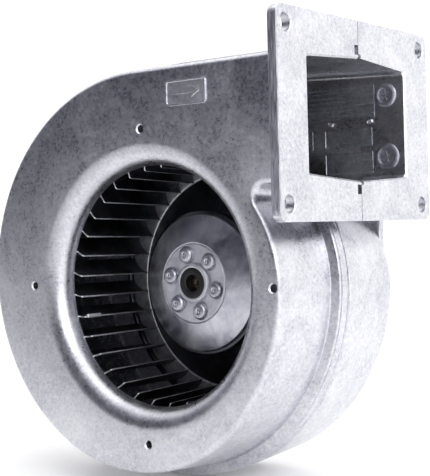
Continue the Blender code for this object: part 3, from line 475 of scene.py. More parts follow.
def sheen(hex_value):
    """An sRGB hex colour as linear red, green, blue and alpha."""
    channels = []
    for place in (0, 2, 4):
        value = int(hex_value[place:place + 2], 16) / 255
        channels.append(value / 12.92 if value <= 0.04045 else ((value + 0.055) / 1.055) ** 2.4)
    return (*channels, 1.0)


def add(tree, kind, links=None, stops=None, **settings):
    """Adds a node, sets it, and fills its inputs with values or with links from other nodes."""
    node = tree.nodes.new(kind)
    for key, value in settings.items():
        setattr(node, key, value)
    for key, value in (links or {}).items():
        if isinstance(value, bpy.types.NodeSocket):
            tree.links.new(value, node.inputs[key])
        else:
            node.inputs[key].default_value = value
    if stops:
        while len(node.color_ramp.elements) < len(stops):
            node.color_ramp.elements.new(0.5)
        for element, (position, value) in zip(node.color_ramp.elements, stops):
            element.position = position
            element.color = sheen(value)
    return node


def new_finish(name, colour, metallic, roughness):
    """A material with its shader set; returns the material, its tree, its shader and object coordinates."""
    material = bpy.data.materials.new(name)
    material.use_nodes = True
    tree = material.node_tree
    shader = tree.nodes["Principled BSDF"]
    shader.inputs["Base Color"].default_value = sheen(colour)
    shader.inputs["Metallic"].default_value = metallic
    shader.inputs["Roughness"].default_value = roughness
    place = add(tree, "ShaderNodeTexCoord").outputs["Object"]
    return material, tree, shader, place


def die_cast(name, dark, light, roughness=0.42):
    """Die-cast aluminium as it leaves the mould: cloudy flow marks, a fine frosted grain, dark specks and
    light handling scratches."""
    material, tree, shader, place = new_finish(name, light, 1.0, roughness)
    # Clouds some 25 mm across, where the melt chilled unevenly, broken up by mottle of 1.5 mm and finer.
    cloud = add(tree, "ShaderNodeTexNoise", {
        "Vector": place, "Scale": 42.0, "Detail": 6.0, "Roughness": 0.62, "Distortion": 1.1})
    mottle = add(tree, "ShaderNodeTexNoise", {
        "Vector": place, "Scale": 640.0, "Detail": 6.0, "Roughness": 0.72, "Distortion": 0.4})
    cloudy = add(tree, "ShaderNodeMath", {0: cloud.outputs["Fac"], 1: 0.38}, operation="MULTIPLY")
    both = add(tree, "ShaderNodeMath", {0: mottle.outputs["Fac"], 1: 0.62, 2: cloudy.outputs[0]},
               operation="MULTIPLY_ADD")
    tone = add(tree, "ShaderNodeValToRGB", {"Fac": both.outputs[0]}, stops=[(0.38, dark), (0.60, light)])
    # Flow lines: soft contours of a swirling noise.
    swirl = add(tree, "ShaderNodeTexNoise", {
        "Vector": place, "Scale": 85.0, "Detail": 5.0, "Roughness": 0.6, "Distortion": 1.6})
    offset = add(tree, "ShaderNodeMath", {0: swirl.outputs["Fac"], 1: 0.5}, operation="SUBTRACT")
    contour = add(tree, "ShaderNodeMath", {0: offset.outputs[0]}, operation="ABSOLUTE")
    flow = add(tree, "ShaderNodeMapRange", {
        "Value": contour.outputs[0], "From Min": 0.0, "From Max": 0.022, "To Min": 0.34, "To Max": 0.0})
    flowing = add(tree, "ShaderNodeMix", {
        "Factor": flow.outputs[0], 6: tone.outputs["Color"], 7: sheen("F6F6FA")}, data_type="RGBA")
    # Dull stains about 1 mm across, gathered where the swirl is weak.
    speck = add(tree, "ShaderNodeTexNoise", {
        "Vector": place, "Scale": 800.0, "Detail": 4.0, "Roughness": 0.7})
    gathered = add(tree, "ShaderNodeMath", {0: swirl.outputs["Fac"], 1: -0.30, 2: speck.outputs["Fac"]},
                   operation="MULTIPLY_ADD")
    specks = add(tree, "ShaderNodeMapRange", {
        "Value": gathered.outputs[0], "From Min": 0.47, "From Max": 0.62, "To Min": 0.0, "To Max": 0.16})
    specked = add(tree, "ShaderNodeMix", {
        "Factor": specks.outputs[0], 6: flowing.outputs[2], 7: sheen("6A6B76")}, data_type="RGBA")
    # Scratches: noise stretched eighteen times along a slanted line.
    slant = add(tree, "ShaderNodeMapping", {
        "Vector": place, "Rotation": (0.3, 0.9, 0.5), "Scale": (60.0, 1100.0, 1100.0)})
    scratch = add(tree, "ShaderNodeTexNoise", {"Vector": slant.outputs[0], "Scale": 1.0, "Detail": 1.0})
    scratches = add(tree, "ShaderNodeMapRange", {
        "Value": scratch.outputs["Fac"], "From Min": 0.72, "From Max": 0.78, "To Min": 0.0, "To Max": 0.35})
    worn = add(tree, "ShaderNodeMix", {
        "Factor": scratches.outputs[0], 6: specked.outputs[2], 7: sheen("FAFAFC")}, data_type="RGBA")
    tree.links.new(worn.outputs[2], shader.inputs["Base Color"])
    gloss = add(tree, "ShaderNodeMapRange", {
        "Value": both.outputs[0], "From Min": 0.35, "From Max": 0.65,
        "To Min": roughness - 0.07, "To Max": roughness + 0.10})
    tree.links.new(gloss.outputs[0], shader.inputs["Roughness"])
    # The frosted grain and the mottle stand about 0.1 mm proud, and the stains lie a little lower.
    grain = add(tree, "ShaderNodeTexNoise", {
        "Vector": place, "Scale": 1100.0, "Detail": 4.0, "Roughness": 0.65})
    height = add(tree, "ShaderNodeMath", {0: both.outputs[0], 1: 1.4, 2: grain.outputs["Fac"]},
                 operation="MULTIPLY_ADD")
    pitted = add(tree, "ShaderNodeMath", {0: height.outputs[0], 1: specks.outputs[0]}, operation="SUBTRACT")
    bump = add(tree, "ShaderNodeBump", {"Height": pitted.outputs[0], "Strength": 0.55, "Distance": 0.00011})
    tree.links.new(bump.outputs[0], shader.inputs["Normal"])
    return material


def sheet_metal(name, dark, light, roughness, cloud_scale=90.0, bump_depth=0.00002, streak=(1.0, 1.0, 1.0)):
    """Rolled or pressed sheet: soft blotches and fine drawing lines."""
    material, tree, shader, place = new_finish(name, light, 1.0, roughness)
    stretched = add(tree, "ShaderNodeMapping", {"Vector": place, "Scale": streak})
    blotch = add(tree, "ShaderNodeTexNoise", {"Vector": stretched.outputs[0], "Scale": cloud_scale,
                                              "Detail": 5.0, "Roughness": 0.6, "Distortion": 0.5})
    tone = add(tree, "ShaderNodeValToRGB", {"Fac": blotch.outputs["Fac"]},
               stops=[(0.35, dark), (0.65, light)])
    tree.links.new(tone.outputs["Color"], shader.inputs["Base Color"])
    gloss = add(tree, "ShaderNodeMapRange", {
        "Value": blotch.outputs["Fac"], "From Min": 0.3, "From Max": 0.7,
        "To Min": roughness - 0.06, "To Max": roughness + 0.08})
    tree.links.new(gloss.outputs[0], shader.inputs["Roughness"])
    grain = add(tree, "ShaderNodeTexNoise", {"Vector": stretched.outputs[0], "Scale": 1400.0, "Detail": 3.0})
    bump = add(tree, "ShaderNodeBump", {
        "Height": grain.outputs["Fac"], "Strength": 0.5, "Distance": bump_depth})
    tree.links.new(bump.outputs[0], shader.inputs["Normal"])
    return material


def moulded(name, dark, light, roughness, grain_scale=900.0, bump_depth=0.00004):
    """Moulded plastic or rubber: a faint cloud in the colour and an eroded mould's grain."""
    material, tree, shader, place = new_finish(name, light, 0.0, roughness)
    cloud = add(tree, "ShaderNodeTexNoise", {"Vector": place, "Scale": 160.0, "Detail": 4.0})
    tone = add(tree, "ShaderNodeValToRGB", {"Fac": cloud.outputs["Fac"]}, stops=[(0.35, dark), (0.65, light)])
    tree.links.new(tone.outputs["Color"], shader.inputs["Base Color"])
    grain = add(tree, "ShaderNodeTexVoronoi", {"Vector": place, "Scale": grain_scale})
    bump = add(tree, "ShaderNodeBump", {
        "Height": grain.outputs["Distance"], "Strength": 0.35, "Distance": bump_depth})
    tree.links.new(bump.outputs[0], shader.inputs["Normal"])
    return material


def layered(name, dark, light, metallic, roughness, spacing, direction):
    """Stacked sheets or wound wire: lines at the spacing, in metres, across the given direction."""
    material, tree, shader, place = new_finish(name, light, metallic, roughness)
    wave = add(tree, "ShaderNodeTexWave", {"Vector": place, "Scale": 0.3142 / spacing, "Distortion": 0.15,
                                           "Detail": 2.0}, bands_direction=direction)
    tone = add(tree, "ShaderNodeValToRGB", {"Fac": wave.outputs["Fac"]}, stops=[(0.25, dark), (0.7, light)])
    tree.links.new(tone.outputs["Color"], shader.inputs["Base Color"])
    bump = add(tree, "ShaderNodeBump", {
        "Height": wave.outputs["Fac"], "Strength": 0.8, "Distance": spacing * 0.3})
    tree.links.new(bump.outputs[0], shader.inputs["Normal"])
    return material


# The mould's own skin: bright, cool and mottled, with soft reflections.
CAST_SKIN = die_cast("die_cast_aluminium_skin", "BEBEC7", "E9E9EE", 0.30)
# Raised marks rubbed by handling, a shade lighter than the skin round them.
WORN_SKIN = die_cast("worn_aluminium_relief", "D4D5DC", "F2F2F6", 0.34)
# Trimmed flash: torn lines that run along the cut.
CAST_EDGE = sheet_metal("trimmed_aluminium_edge", "8C8D98", "D8D9E0", 0.40, 120.0, 0.00012,
                        (14.0, 14.0, 1.0))
# Relief on the duct's rear wall, greyer and duller than the outside skin.
CAST_INSIDE = die_cast("die_cast_aluminium_inside", "A0A1AC", "CBCCD4", 0.42)
# The scroll's unpolished inside, with a painted shade: dark so that the wheel stands out in front of it.
SCROLL_PAINTED_SHADE = die_cast("scroll_wall_painted_shade", "5E5F68", "7C7D86", 0.50)
# Galvanised sheet dulled to a dark grey, with broad faint blotches.
WHEEL_SHEET = sheet_metal("galvanised_wheel_sheet", "3E3F45", "6A6B73", 0.32, 60.0)
# A shear leaves the bare metal bright; on the blades' inner edges the pale tone is partly a painted
# highlight, so each blade shows as a pale line.
BRIGHT_STEEL_AND_EDGE_HIGHLIGHT = sheet_metal("sheared_steel_painted_edge_highlight", "D8D9DF", "F4F5F8", 0.48, 300.0)
# Deep drawing leaves soft blotches in a half-polished cup.
CUP_STEEL = sheet_metal("pressed_rotor_steel", "A9AAB8", "EAEBF1", 0.34, 75.0)
# Stamped plate, pale and matt from tumbling.
HUB_STEEL = sheet_metal("stamped_hub_steel", "D0D1DA", "ECEDF2", 0.55, 140.0)
# Struck heads with small uneven glints.
RIVET_STEEL = sheet_metal("upset_rivet_steel", "A6A8B2", "E0E1E8", 0.36, 260.0)
# Clear zinc plate, cool and glossy.
ZINC_STEEL = sheet_metal("zinc_plated_steel", "9FA2A8", "D2D5DA", 0.28, 220.0)
# Oil and handling turn the shaft's end brown.
SHAFT_STEEL = sheet_metal("oiled_shaft_steel", "3E352E", "6E635A", 0.40, 300.0)
# Black nylon with a half-matt mould grain.
BUSH_PLASTIC = moulded("moulded_bush_nylon", "0C0C0D", "1B1B1D", 0.42)
# Black rubber, matt enough to lose every highlight.
GLAND_RUBBER = moulded("moulded_gland_rubber", "101011", "1E1E20", 0.62)
# Undyed nylon, cream and faintly cloudy.
INSULATOR_NYLON = moulded("moulded_insulator_nylon", "CFCDC2", "E2E0D6", 0.45)
# Stacked electrical sheet: a line at every edge.
CORE_STACK = layered("stacked_core_sheet", "3A3A40", "77787F", 1.0, 0.42, 0.0010, "Y")
# Enamelled copper: orange-brown turns with dark gaps.
COIL_WIRE = layered("enamelled_coil_wire", "5C2410", "B4561F", 0.8, 0.30, 0.0007, "Y")
# Ground steel, the glossiest metal here.
BEARING_STEEL = sheet_metal("ground_bearing_steel", "B4B6BD", "DCDEE4", 0.16, 400.0)
# Cast aluminium end rings, matt and slightly rough.
CAGE_CASTING = sheet_metal("cast_cage_aluminium", "9A9CA6", "C4C6CE", 0.45, 240.0, 0.00006)


def dress(piece, finish, body, stands_for=(), smooth=35.0):
    """Moves a finished piece to its place, and gives it its finish, its body and the nodes it stands for."""
    piece.location = FAN_AXIS
    settle(piece)
    bpy.ops.object.shade_smooth_by_angle(angle=math.radians(smooth))
    piece.data.materials.clear()
    piece.data.materials.append(finish)
    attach(piece, body)
    if stands_for:
        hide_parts(*stands_for)
    return piece


def second_finish(piece, finish, pick):
    """Gives a second finish to the faces that the test picks, by their middle in mm and their normal."""
    piece.data.materials.append(finish)
    for face in piece.data.polygons:
        if pick((face.center - FAN_AXIS) / MM, face.normal):
            face.material_index = len(piece.data.materials) - 1


# Casing.

def flange_plate(name, low_depth, high_depth, rounded_depth):
    """Half of the outlet flange: a plate with two rounded corners and its outer edges broken."""
    low = (REACH - FLANGE_THICK, low_depth, FLANGE_RISE - FLANGE_HEIGHT / 2)
    high = (REACH, high_depth, FLANGE_RISE + FLANGE_HEIGHT / 2)
    plate = block(name, low, high, FLANGE_CORNER,
                  runs_along(0, lambda middle: abs(middle.y - rounded_depth) < 0.01), 10)
    seam_depth = high_depth if rounded_depth == low_depth else low_depth

    def outer_rim(edge):
        ends = [v.co / MM for v in edge.verts]
        at_face = all(abs(end.x - REACH) < 0.01 for end in ends) or all(
            abs(end.x - REACH + FLANGE_THICK) < 0.01 for end in ends)
        return at_face and not all(abs(end.y - seam_depth) < 0.01 for end in ends)

    edit(plate, outer_rim, "EDGE")
    bpy.ops.mesh.bevel(offset=0.45 * MM, segments=3, affect="EDGES")
    close_edit()
    return plate


def make_arrow_plate():
    """The raised plate on the inlet face, with a sunk field and a raised arrow in it."""
    plate = block("arrow_plate", (15.25, -0.6, 76.2), (36.75, 1.5, 87.0), 1.6, runs_along(1), 5)
    edit(plate, lambda face: face.normal.y < -0.9)
    bpy.ops.mesh.inset(thickness=0.75 * MM, depth=0)
    bpy.ops.mesh.inset(thickness=0.2 * MM, depth=-0.45 * MM)
    close_edit()
    flat = [(19.0, 80.9), (29.2, 80.9), (29.2, 79.2), (33.4, 81.6), (29.2, 84.0), (29.2, 82.3), (19.0, 82.3)]
    arrow = loop_of("arrow", [Vector((x, 0.2, z)) * MM for x, z in flat])
    edit(arrow)
    bpy.ops.mesh.extrude_region_move(TRANSFORM_OT_translate={"value": (0, -0.75 * MM, 0)})
    close_facing_out()
    return combine(plate, arrow, "UNION")


def nozzle_arc(outer, size, steps, wider=0.0):
    """The nozzle's quarter round, which curves from the face into the throat, as (radius, depth) points."""
    turns = [math.radians(90.0 * step / steps) for step in range(steps + 1)]
    return [(outer + wider - (size + wider) * math.sin(turn), NOZZLE_ROUND - size * math.cos(turn))
            for turn in turns]


def make_front_shell():
    lip_front = SPLIT - LIP_DEPTH
    seam = SPLIT - SEAM / 2
    at_lip = drafted(lip_front)
    inner_at_seam = drafted(SPLIT) - SIDE_WALL
    sections = rounded_sections((0, -FACE_ROUND), (FACE_ROUND, 0), 6)
    sections += [(depth, drafted(depth), 0) for depth in (10.0, 20.0, lip_front - 0.9)]
    sections += [(lip_front + depth, at_lip + height, 0) for depth, height in LIP_FOOT]
    sections += [(lip_front + depth, at_lip + LIP_HEIGHT + height, 0) for depth, height in LIP_AT_FRONT]
    sections += [(seam - depth, drafted(seam) + LIP_HEIGHT + height, 0) for depth, height in LIP_AT_SEAM]
    sections += [(seam + 0.1, inner_at_seam + SPIGOT, 0), (SPLIT + SPIGOT, inner_at_seam + SPIGOT - 0.1, 0)]
    shell = lofted("front_shell_casting", sections, REACH - FLANGE_THICK / 2)
    combine(shell, flange_plate("front_flange", SPLIT - FLANGE_HALF, seam, SPLIT - FLANGE_HALF), "UNION")
    add_lugs(shell, lip_front + 0.5, seam, 0.8, 0.3)
    combine(shell, make_arrow_plate(), "UNION")
    hollow = lofted("front_hollow", rounded_sections(
        (FACE_WALL, drafted(FACE_WALL) - SIDE_WALL - 2.0), (FACE_WALL + 2.0, drafted(5.0) - SIDE_WALL), 5) + [
        (SPLIT, inner_at_seam, 0), (SPLIT + 3, inner_at_seam + 0.05, 0)], REACH + FLANGE_THICK)
    outer = THROAT + NOZZLE_ROUND
    inner_arc = nozzle_arc(outer, NOZZLE_ROUND - NOZZLE_WALL, 10)
    throat_wall = turned("nozzle_wall", [(0, 1.5), (outer + 4, 1.5), (outer + 4, inner_arc[0][1])] + inner_arc
                         + [(inner_arc[-1][0], NOZZLE_DEPTH), (0, NOZZLE_DEPTH)], 160, rod=True)
    cut(hollow, throat_wall)
    for place in INLET_PLACES:
        boss = turned("inlet_boss", [(0, 1.5), (4.0, 1.5), (3.9, 10.8), (3.6, 11.1), (0, 11.1)], 32, rod=True)
        cut(hollow, set_down(boss, *place))
    cut(shell, hollow)
    flare = nozzle_arc(outer, NOZZLE_ROUND, 20, 0.6)
    eye = turned("inlet_eye", [(0, -4), (outer + 1.6, -4), (outer + 1.6, -0.02)] + flare
                 + [(THROAT, NOZZLE_DEPTH - 0.3), (THROAT + 0.35, NOZZLE_DEPTH + 0.05),
                    (THROAT + 0.35, NOZZLE_DEPTH + 3), (0, NOZZLE_DEPTH + 3)], 160, rod=True)
    cut(shell, eye)
    for place in INLET_PLACES:
        cut(shell, drill(TAP_HOLE, 0, 9.0, place, 0.55))
    for place in lug_places():
        cut(shell, drill(SCREW_HOLE, lip_front - 1, SPLIT + 1, place))
    cut_flange_holes(shell, SPLIT - HOLES_ACROSS / 2)
    cut(shell, mouth_chamfer())
    notch_inner = DUCT_TOP + inner_at_seam + SPIGOT
    for low in (notch_inner, DUCT_TOP + DUCT_FLOOR - notch_inner - NOTCH):
        cut(shell, block("notch", (REACH - 9, seam - 2.8, low), (REACH + 9, seam + 0.15, low + NOTCH)))
    dress(shell, CAST_SKIN, "housing", ("front_shell",))
    second_finish(shell, CAST_EDGE, lambda at, normal: at.x > REACH - FLANGE_THICK - 0.1 and at.y < -17.0)
    second_finish(shell, WORN_SKIN, lambda at, normal: at.y < -0.05 and 15 < at.x < 37)
    # The scroll's inner wall takes the painted shade.
    second_finish(shell, SCROLL_PAINTED_SHADE, scroll_inside)


def scroll_inside(at, normal):
    """Faces of the scroll's inner wall, below the duct, that look towards the fan axis: they take the painted
    shade.
    """
    radius = math.hypot(at.x, at.z)
    inward = -(normal.x * at.x + normal.z * at.z) / radius
    return radius > 64.0 and inward > 0.5 and FACE_WALL < at.y < DEPTH - FACE_WALL and at.z < DUCT_FLOOR


def rear_wall_relief():
    """Raised marks on the duct's rear wall: a ruled panel, three framed plates and two round stamps."""
    wall = DEPTH - FACE_WALL
    marks = []

    def frame_plate(low, high, border):
        plate = block("frame", (low[0], wall - 0.22, low[1]), (high[0], wall + 0.6, high[1]), 0.5,
                      runs_along(1), 2)
        edit(plate, lambda face: face.normal.y < -0.9)
        bpy.ops.mesh.inset(thickness=border * MM, depth=0)
        bpy.ops.mesh.inset(thickness=0.25 * MM, depth=-0.18 * MM)
        close_edit()
        return plate

    for low, high in RELIEF_FRAMES:
        marks.append(frame_plate(low, high, 0.45))
    (x_low, z_low), (x_high, z_high) = RELIEF_GRID
    marks.append(frame_plate((x_low, z_low), (x_high, z_high), 0.5))
    for row in range(1, RELIEF_ROWS):
        z = z_low + (z_high - z_low) * row / RELIEF_ROWS
        marks.append(block("rule", (x_low + 0.4, wall - 0.4, z - 0.25), (x_high - 0.4, wall + 0.3, z + 0.25),
                           0.12, runs_along(0), 2))
    for x, z, radius in RELIEF_STAMPS:
        stamp = turned("stamp", filleted([
            (0, wall - 0.05), (radius - 0.8, wall - 0.05), (radius - 0.6, wall - 0.2, 0.1),
            (radius, wall - 0.2, 0.14), (radius, wall + 0.5), (0, wall + 0.5)], 2, closed=False),
            48, rod=True)
        stamp.location = Vector((x, 0, z)) * MM
        marks.append(settle(stamp))
        for turn in (20.0, 80.0, 140.0):
            bar = block("stamp_bar", (-radius * 0.5, wall - 0.25, -0.16), (radius * 0.5, wall + 0.3, 0.16),
                        0.1, runs_along(0), 2)
            bar.rotation_euler = (0, math.radians(turn), 0)
            bar.location = Vector((x, 0, z)) * MM
            marks.append(settle(bar))
    return marks


def make_rear_shell():
    seam = SPLIT + SEAM / 2
    back_inside = DEPTH - FACE_WALL
    inner_at_seam = drafted(SPLIT) - SIDE_WALL
    rebate = SPIGOT + SEAM
    bulge = REAR_BULGE
    back_round = [(DEPTH - depth, grow, bulge) for depth, grow, _ in rounded_sections(
        (0, drafted(DEPTH) - BACK_ROUND), (BACK_ROUND, drafted(DEPTH - BACK_ROUND)), 9)]
    shell = lofted("rear_shell_casting", [
        (seam, drafted(seam) - 0.7, bulge), (seam + 0.25, drafted(seam) - 0.2, bulge),
        (seam + 0.6, drafted(seam), bulge), (seam + 1.2, drafted(seam), bulge),
        (60.0, drafted(60.0), bulge)] + back_round[::-1], REACH - FLANGE_THICK / 2)
    combine(shell, flange_plate("rear_flange", seam, SPLIT + FLANGE_HALF, SPLIT + FLANGE_HALF), "UNION")
    web = block("rear_web", (SCROLL_START - 14, DEPTH - 3.7, 10), (71.2, DEPTH - 0.2, DUCT_FLOOR + 3.5), 0.6,
                runs_along(2), 3)
    combine(shell, web, "UNION")
    add_lugs(shell, seam, SPLIT + 8.0, 0.3, 0.8)
    inside_round = [(back_inside - depth, grow, bulge) for depth, grow, _ in rounded_sections(
        (0, drafted(back_inside) - SIDE_WALL - 2.0), (2.0, drafted(back_inside - 2.0) - SIDE_WALL), 5)]
    hollow = lofted("rear_hollow", [
        (SPLIT - 2, inner_at_seam + rebate, bulge - rebate),
        (SPLIT + rebate, inner_at_seam + rebate, bulge - rebate),
        (SPLIT + rebate + 0.3, inner_at_seam, bulge)] + inside_round[::-1], REACH + FLANGE_THICK)
    for place in MOTOR_PLACES:
        boss = turned("motor_boss", [(0, back_inside - 6.0), (4.1, back_inside - 6.0),
                                     (4.5, back_inside - 5.6), (4.5, DEPTH), (0, DEPTH)], 32, rod=True)
        cut(hollow, set_down(boss, *place))
    cut(shell, hollow)
    opening = turned("motor_opening", [(0, back_inside - 4), (36, back_inside - 4), (36, DEPTH - 0.4),
                                       (38.4, DEPTH + 2), (0, DEPTH + 2)], 96, rod=True)
    cut(shell, opening)
    for place in MOTOR_PLACES:
        cut(shell, drill(SCREW_HOLE, back_inside - 8, DEPTH + 1, place))
    for place in lug_places():
        cut(shell, drill(SCREW_HOLE, SPLIT - 1, SPLIT + 12, place))
    cut_flange_holes(shell, SPLIT + HOLES_ACROSS / 2)
    cut(shell, mouth_chamfer())
    dress(shell, CAST_SKIN, "housing", ("rear_shell",))
    second_finish(shell, CAST_EDGE, lambda at, normal: at.x > REACH - FLANGE_THICK - 0.1 and at.y > 99.0)
    # The scroll's inner wall takes the painted shade.
    second_finish(shell, SCROLL_PAINTED_SHADE, scroll_inside)
    relief = joined(rear_wall_relief(), "rear_wall_relief")
    dress(relief, CAST_INSIDE, "housing")
    chips = []
    for x, z, turn in CHIPS:
        chip = block("chip", (-1.3, back_inside - 0.9, -0.8), (1.3, back_inside + 0.2, 0.8), 0.35)
        edit(chip, lambda face: face.normal.y < -0.9)
        bpy.ops.mesh.inset(thickness=0.35 * MM, depth=-0.3 * MM)
        close_edit()
        chip.rotation_euler = (0, math.radians(turn), 0)
        chip.location = Vector((x, 0, z)) * MM
        chips.append(settle(chip))
    dress(joined(chips, "sprue_chips"), BRIGHT_STEEL_AND_EDGE_HIGHLIGHT, "housing")


def make_screws():
    """Pan-head screws with a six-lobed recess, modelled once and copied."""
    screw = turned("screw", filleted([(0, -16.0), (1.6, -16.0), (2.0, -15.4), (2.0, 0.0), (3.8, 0.0, 0.15),
                                      (3.8, 1.5, 0.9), (2.6, 2.6, 0.8), (0, 2.6)], closed=False),
                   SMALL, rod=True)
    clear_selection()
    bpy.ops.mesh.primitive_circle_add(vertices=24, radius=1.5 * MM, fill_type="NGON")
    recess = named("recess")
    for corner in recess.data.vertices:
        turn = math.atan2(corner.co.y, corner.co.x)
        size = (1.42 + 0.24 * math.cos(6 * turn)) * MM
        corner.co = Vector((size * math.cos(turn), 1.2 * MM, size * math.sin(turn)))
    edit(recess)
    bpy.ops.mesh.extrude_region_move(TRANSFORM_OT_translate={"value": (0, 3 * MM, 0)})
    close_facing_out()
    cut(screw, recess)
    sets = (("shell_screw", SPLIT + 8.3, lug_places()), ("motor_screw", DEPTH + 3.6, MOTOR_PLACES))
    for kind, depth, places in sets:
        for number, place in enumerate(places, 1):
            twin = set_down(copied(screw, f"{kind}_{number}_zinc"), *place, depth, 17.0 * number)
            if kind == "motor_screw":
                edit(twin, lambda v: v.co.y < (depth - 9.0) * MM, "VERT")
                bpy.ops.transform.translate(value=(0, 5.0 * MM, 0))
                close_edit()
            dress(twin, ZINC_STEEL, "housing", (f"{kind}_{number}",))
    bpy.data.objects.remove(screw)


def make_motor_plate():
    """The dished plate that closes the back, with its bearing tube, an entry for the lead and four holes."""
    front = DEPTH + 0.3
    back = front + 13.4
    floor = back - 4.0
    plate = turned("motor_plate_casting", filleted([
        (0, floor), (11.2, floor, 0.4), (11.2, 49.0, 0.3), (13.2, 49.0, 0.4), (13.2, floor, 1.5),
        (33.0, floor, 2.0), (47.5, front, 1.5), (64.0, front, 0.3), (64.0, front + 3.0, 1.0),
        (50.5, front + 3.0, 2.0), (37.2, back - 0.3, 3.0), (22.0, back, 0.6), (21.0, back - 0.6, 0.4),
        (17.0, back - 0.6, 0.4), (16.0, back, 0.6), (0, back)], 6, closed=False), rod=True)
    for place in MOTOR_PLACES:
        cut(plate, drill(SCREW_HOLE, front - 2, front + 8, place))
    cut(plate, drill(5.0, floor - 2, back + 2, GLAND_PLACE))
    dress(plate, CAST_SKIN, "housing", ("motor_plate",))
    gland = turned("lead_gland", filleted([
        (3.2, floor - 2.0, 0.2), (4.7, floor - 2.0, 0.5), (4.7, back + 0.3), (6.8, back + 0.3, 0.3),
        (6.8, back + 1.1, 0.4), (5.2, back + 1.9, 0.4), (4.2, back + 1.9, 0.3),
        (3.2, back + 1.3, 0.3)], 4), 48)
    dress(set_down(gland, *GLAND_PLACE), GLAND_RUBBER, "housing", ("cable_gland",))


# Impeller.

def make_blades():
    """One blade is rolled, trimmed to its rounded corners and copied round; two bands hold them."""
    half = BLADE_SHEET / 2
    section = [(-half, BLADES_FRONT - 1), (half, BLADES_FRONT - 1), (half, BLADES_REAR + 1),
               (-half, BLADES_REAR + 1)]
    blade = loop_of("blade", [Vector((BLADE_INNER - 0.5, y, z)) * MM for z, y in section], "NOTHING")
    edit(blade)
    bpy.ops.mesh.spin(steps=12, angle=-math.radians(BLADE_TURN + 8), axis=(0, 1, 0),
                      center=Vector((BLADE_INNER - 0.5, 0, -BLADE_ARC)) * MM)
    bpy.ops.mesh.select_all(action="SELECT")
    bpy.ops.mesh.fill_holes(sides=4)
    close_facing_out()
    blank = turned("blade_blank", filleted([
        (BLADE_INNER, BLADES_FRONT, 3.2), (BLADE_OUTER - 0.2, BLADES_FRONT), (BLADE_OUTER - 0.2, BLADES_REAR),
        (BLADE_INNER, BLADES_REAR, 1.6)], 6), FINE)
    combine(blade, blank, "INTERSECT")
    ring = []
    for number in range(BLADE_COUNT):
        twin = copied(blade, f"blade_{number}")
        ring.append(set_down(twin, 0, 0, 0, FIRST_BLADE + 360.0 * number / BLADE_COUNT))
    bpy.data.objects.remove(blade)
    ring.append(turned("front_band", filleted([
        (55.7, 12.0, 0.2), (60.0, 12.0), (60.0, 13.2), (56.0, 13.2, 0.3)]), FINE))
    ring.append(turned("rear_band", filleted([
        (50.6, 59.8, 0.2), (60.0, 59.8), (60.0, 61.0), (50.6, 61.0)]), FINE))
    blades = dress(joined(ring, "rolled_blade_ring"), WHEEL_SHEET, "rotor", ("impeller_blades",))
    # The blades' inner edges take a pale finish, partly bare metal and partly a painted highlight.
    second_finish(blades, BRIGHT_STEEL_AND_EDGE_HIGHLIGHT, edge_highlight_faces)


def edge_highlight_faces(at, normal):
    """Faces on a blade's sheared inner edge and rounded corner, which don't face along the circle: their pale
    finish is partly bare metal and partly a painted highlight.
    """
    radius = math.hypot(at.x, at.z)
    sideways = abs(normal.z * at.x - normal.x * at.z) / radius
    return radius < RING_INNER and sideways < 0.6 and at.y < BLADES_REAR - 1.3


def make_wheel_rings():
    front = RING_FRONT
    fold_end = front + RING_FOLD
    fold_inner = RING_OUTER - RING_SHEET
    rim = turned("folded_front_rim", filleted([
        (RING_INNER, front, 0.35), (RING_OUTER, front, 0.9), (RING_OUTER, fold_end, 0.2),
        (fold_inner, fold_end, 0.2), (fold_inner, front + RING_SHEET),
        (RING_INNER, front + RING_SHEET, 0.3)], 5), FINE)
    dress(rim, WHEEL_SHEET, "rotor", ("impeller_front_ring",))
    back = BLADES_REAR + 0.3
    dish = turned("pressed_back_dish", filleted([
        (31.7, 40.5, 0.2), (32.5, 40.5, 0.3), (34.5, 43.2, 3.0), (46.8, back - 0.9, 4.0), (49.5, back, 1.0),
        (fold_inner, back, 0.1), (fold_inner, back - RING_FOLD, 0.2), (RING_OUTER, back - RING_FOLD, 0.2),
        (RING_OUTER, back + RING_SHEET, 0.8), (49.0, back + RING_SHEET, 1.0), (46.2, back + 0.1, 4.0),
        (33.6, 44.4, 3.0), (31.7, 42.7, 0.3)], 6), 160)
    dress(dish, WHEEL_SHEET, "rotor", ("impeller_back_plate",))
    tabs = []
    for angle in CRIMP_ANGLES:
        tab = block("crimp_tab", (46.3, BLADES_REAR - 0.75, -1.5), (49.5, BLADES_REAR + 0.15, 1.5), 0.35)
        edit(tab, lambda face: face.normal.x < -0.9)
        bpy.ops.transform.translate(value=(0, -0.5 * MM, 0))
        close_edit()
        tabs.append(set_down(tab, 0, 0, 0, angle))
    dress(joined(tabs, "crimp_tabs"), BRIGHT_STEEL_AND_EDGE_HIGHLIGHT, "rotor")
    clip = block("spring_balance_clip", (48.1, 12.4, -0.9), (49.3, 20.9, 0.9), 0.3)
    edit(clip, lambda face: face.normal.x < -0.9)
    bpy.ops.mesh.inset(thickness=0.3 * MM, depth=0)
    bpy.ops.mesh.inset(thickness=0.12 * MM, depth=-0.2 * MM)
    close_edit()
    set_down(clip, 0, 0, 0, FIRST_BLADE + 360.0 * CLIP_BLADE / BLADE_COUNT)
    dress(clip, BRIGHT_STEEL_AND_EDGE_HIGHLIGHT, "rotor", ("balance_clip",))


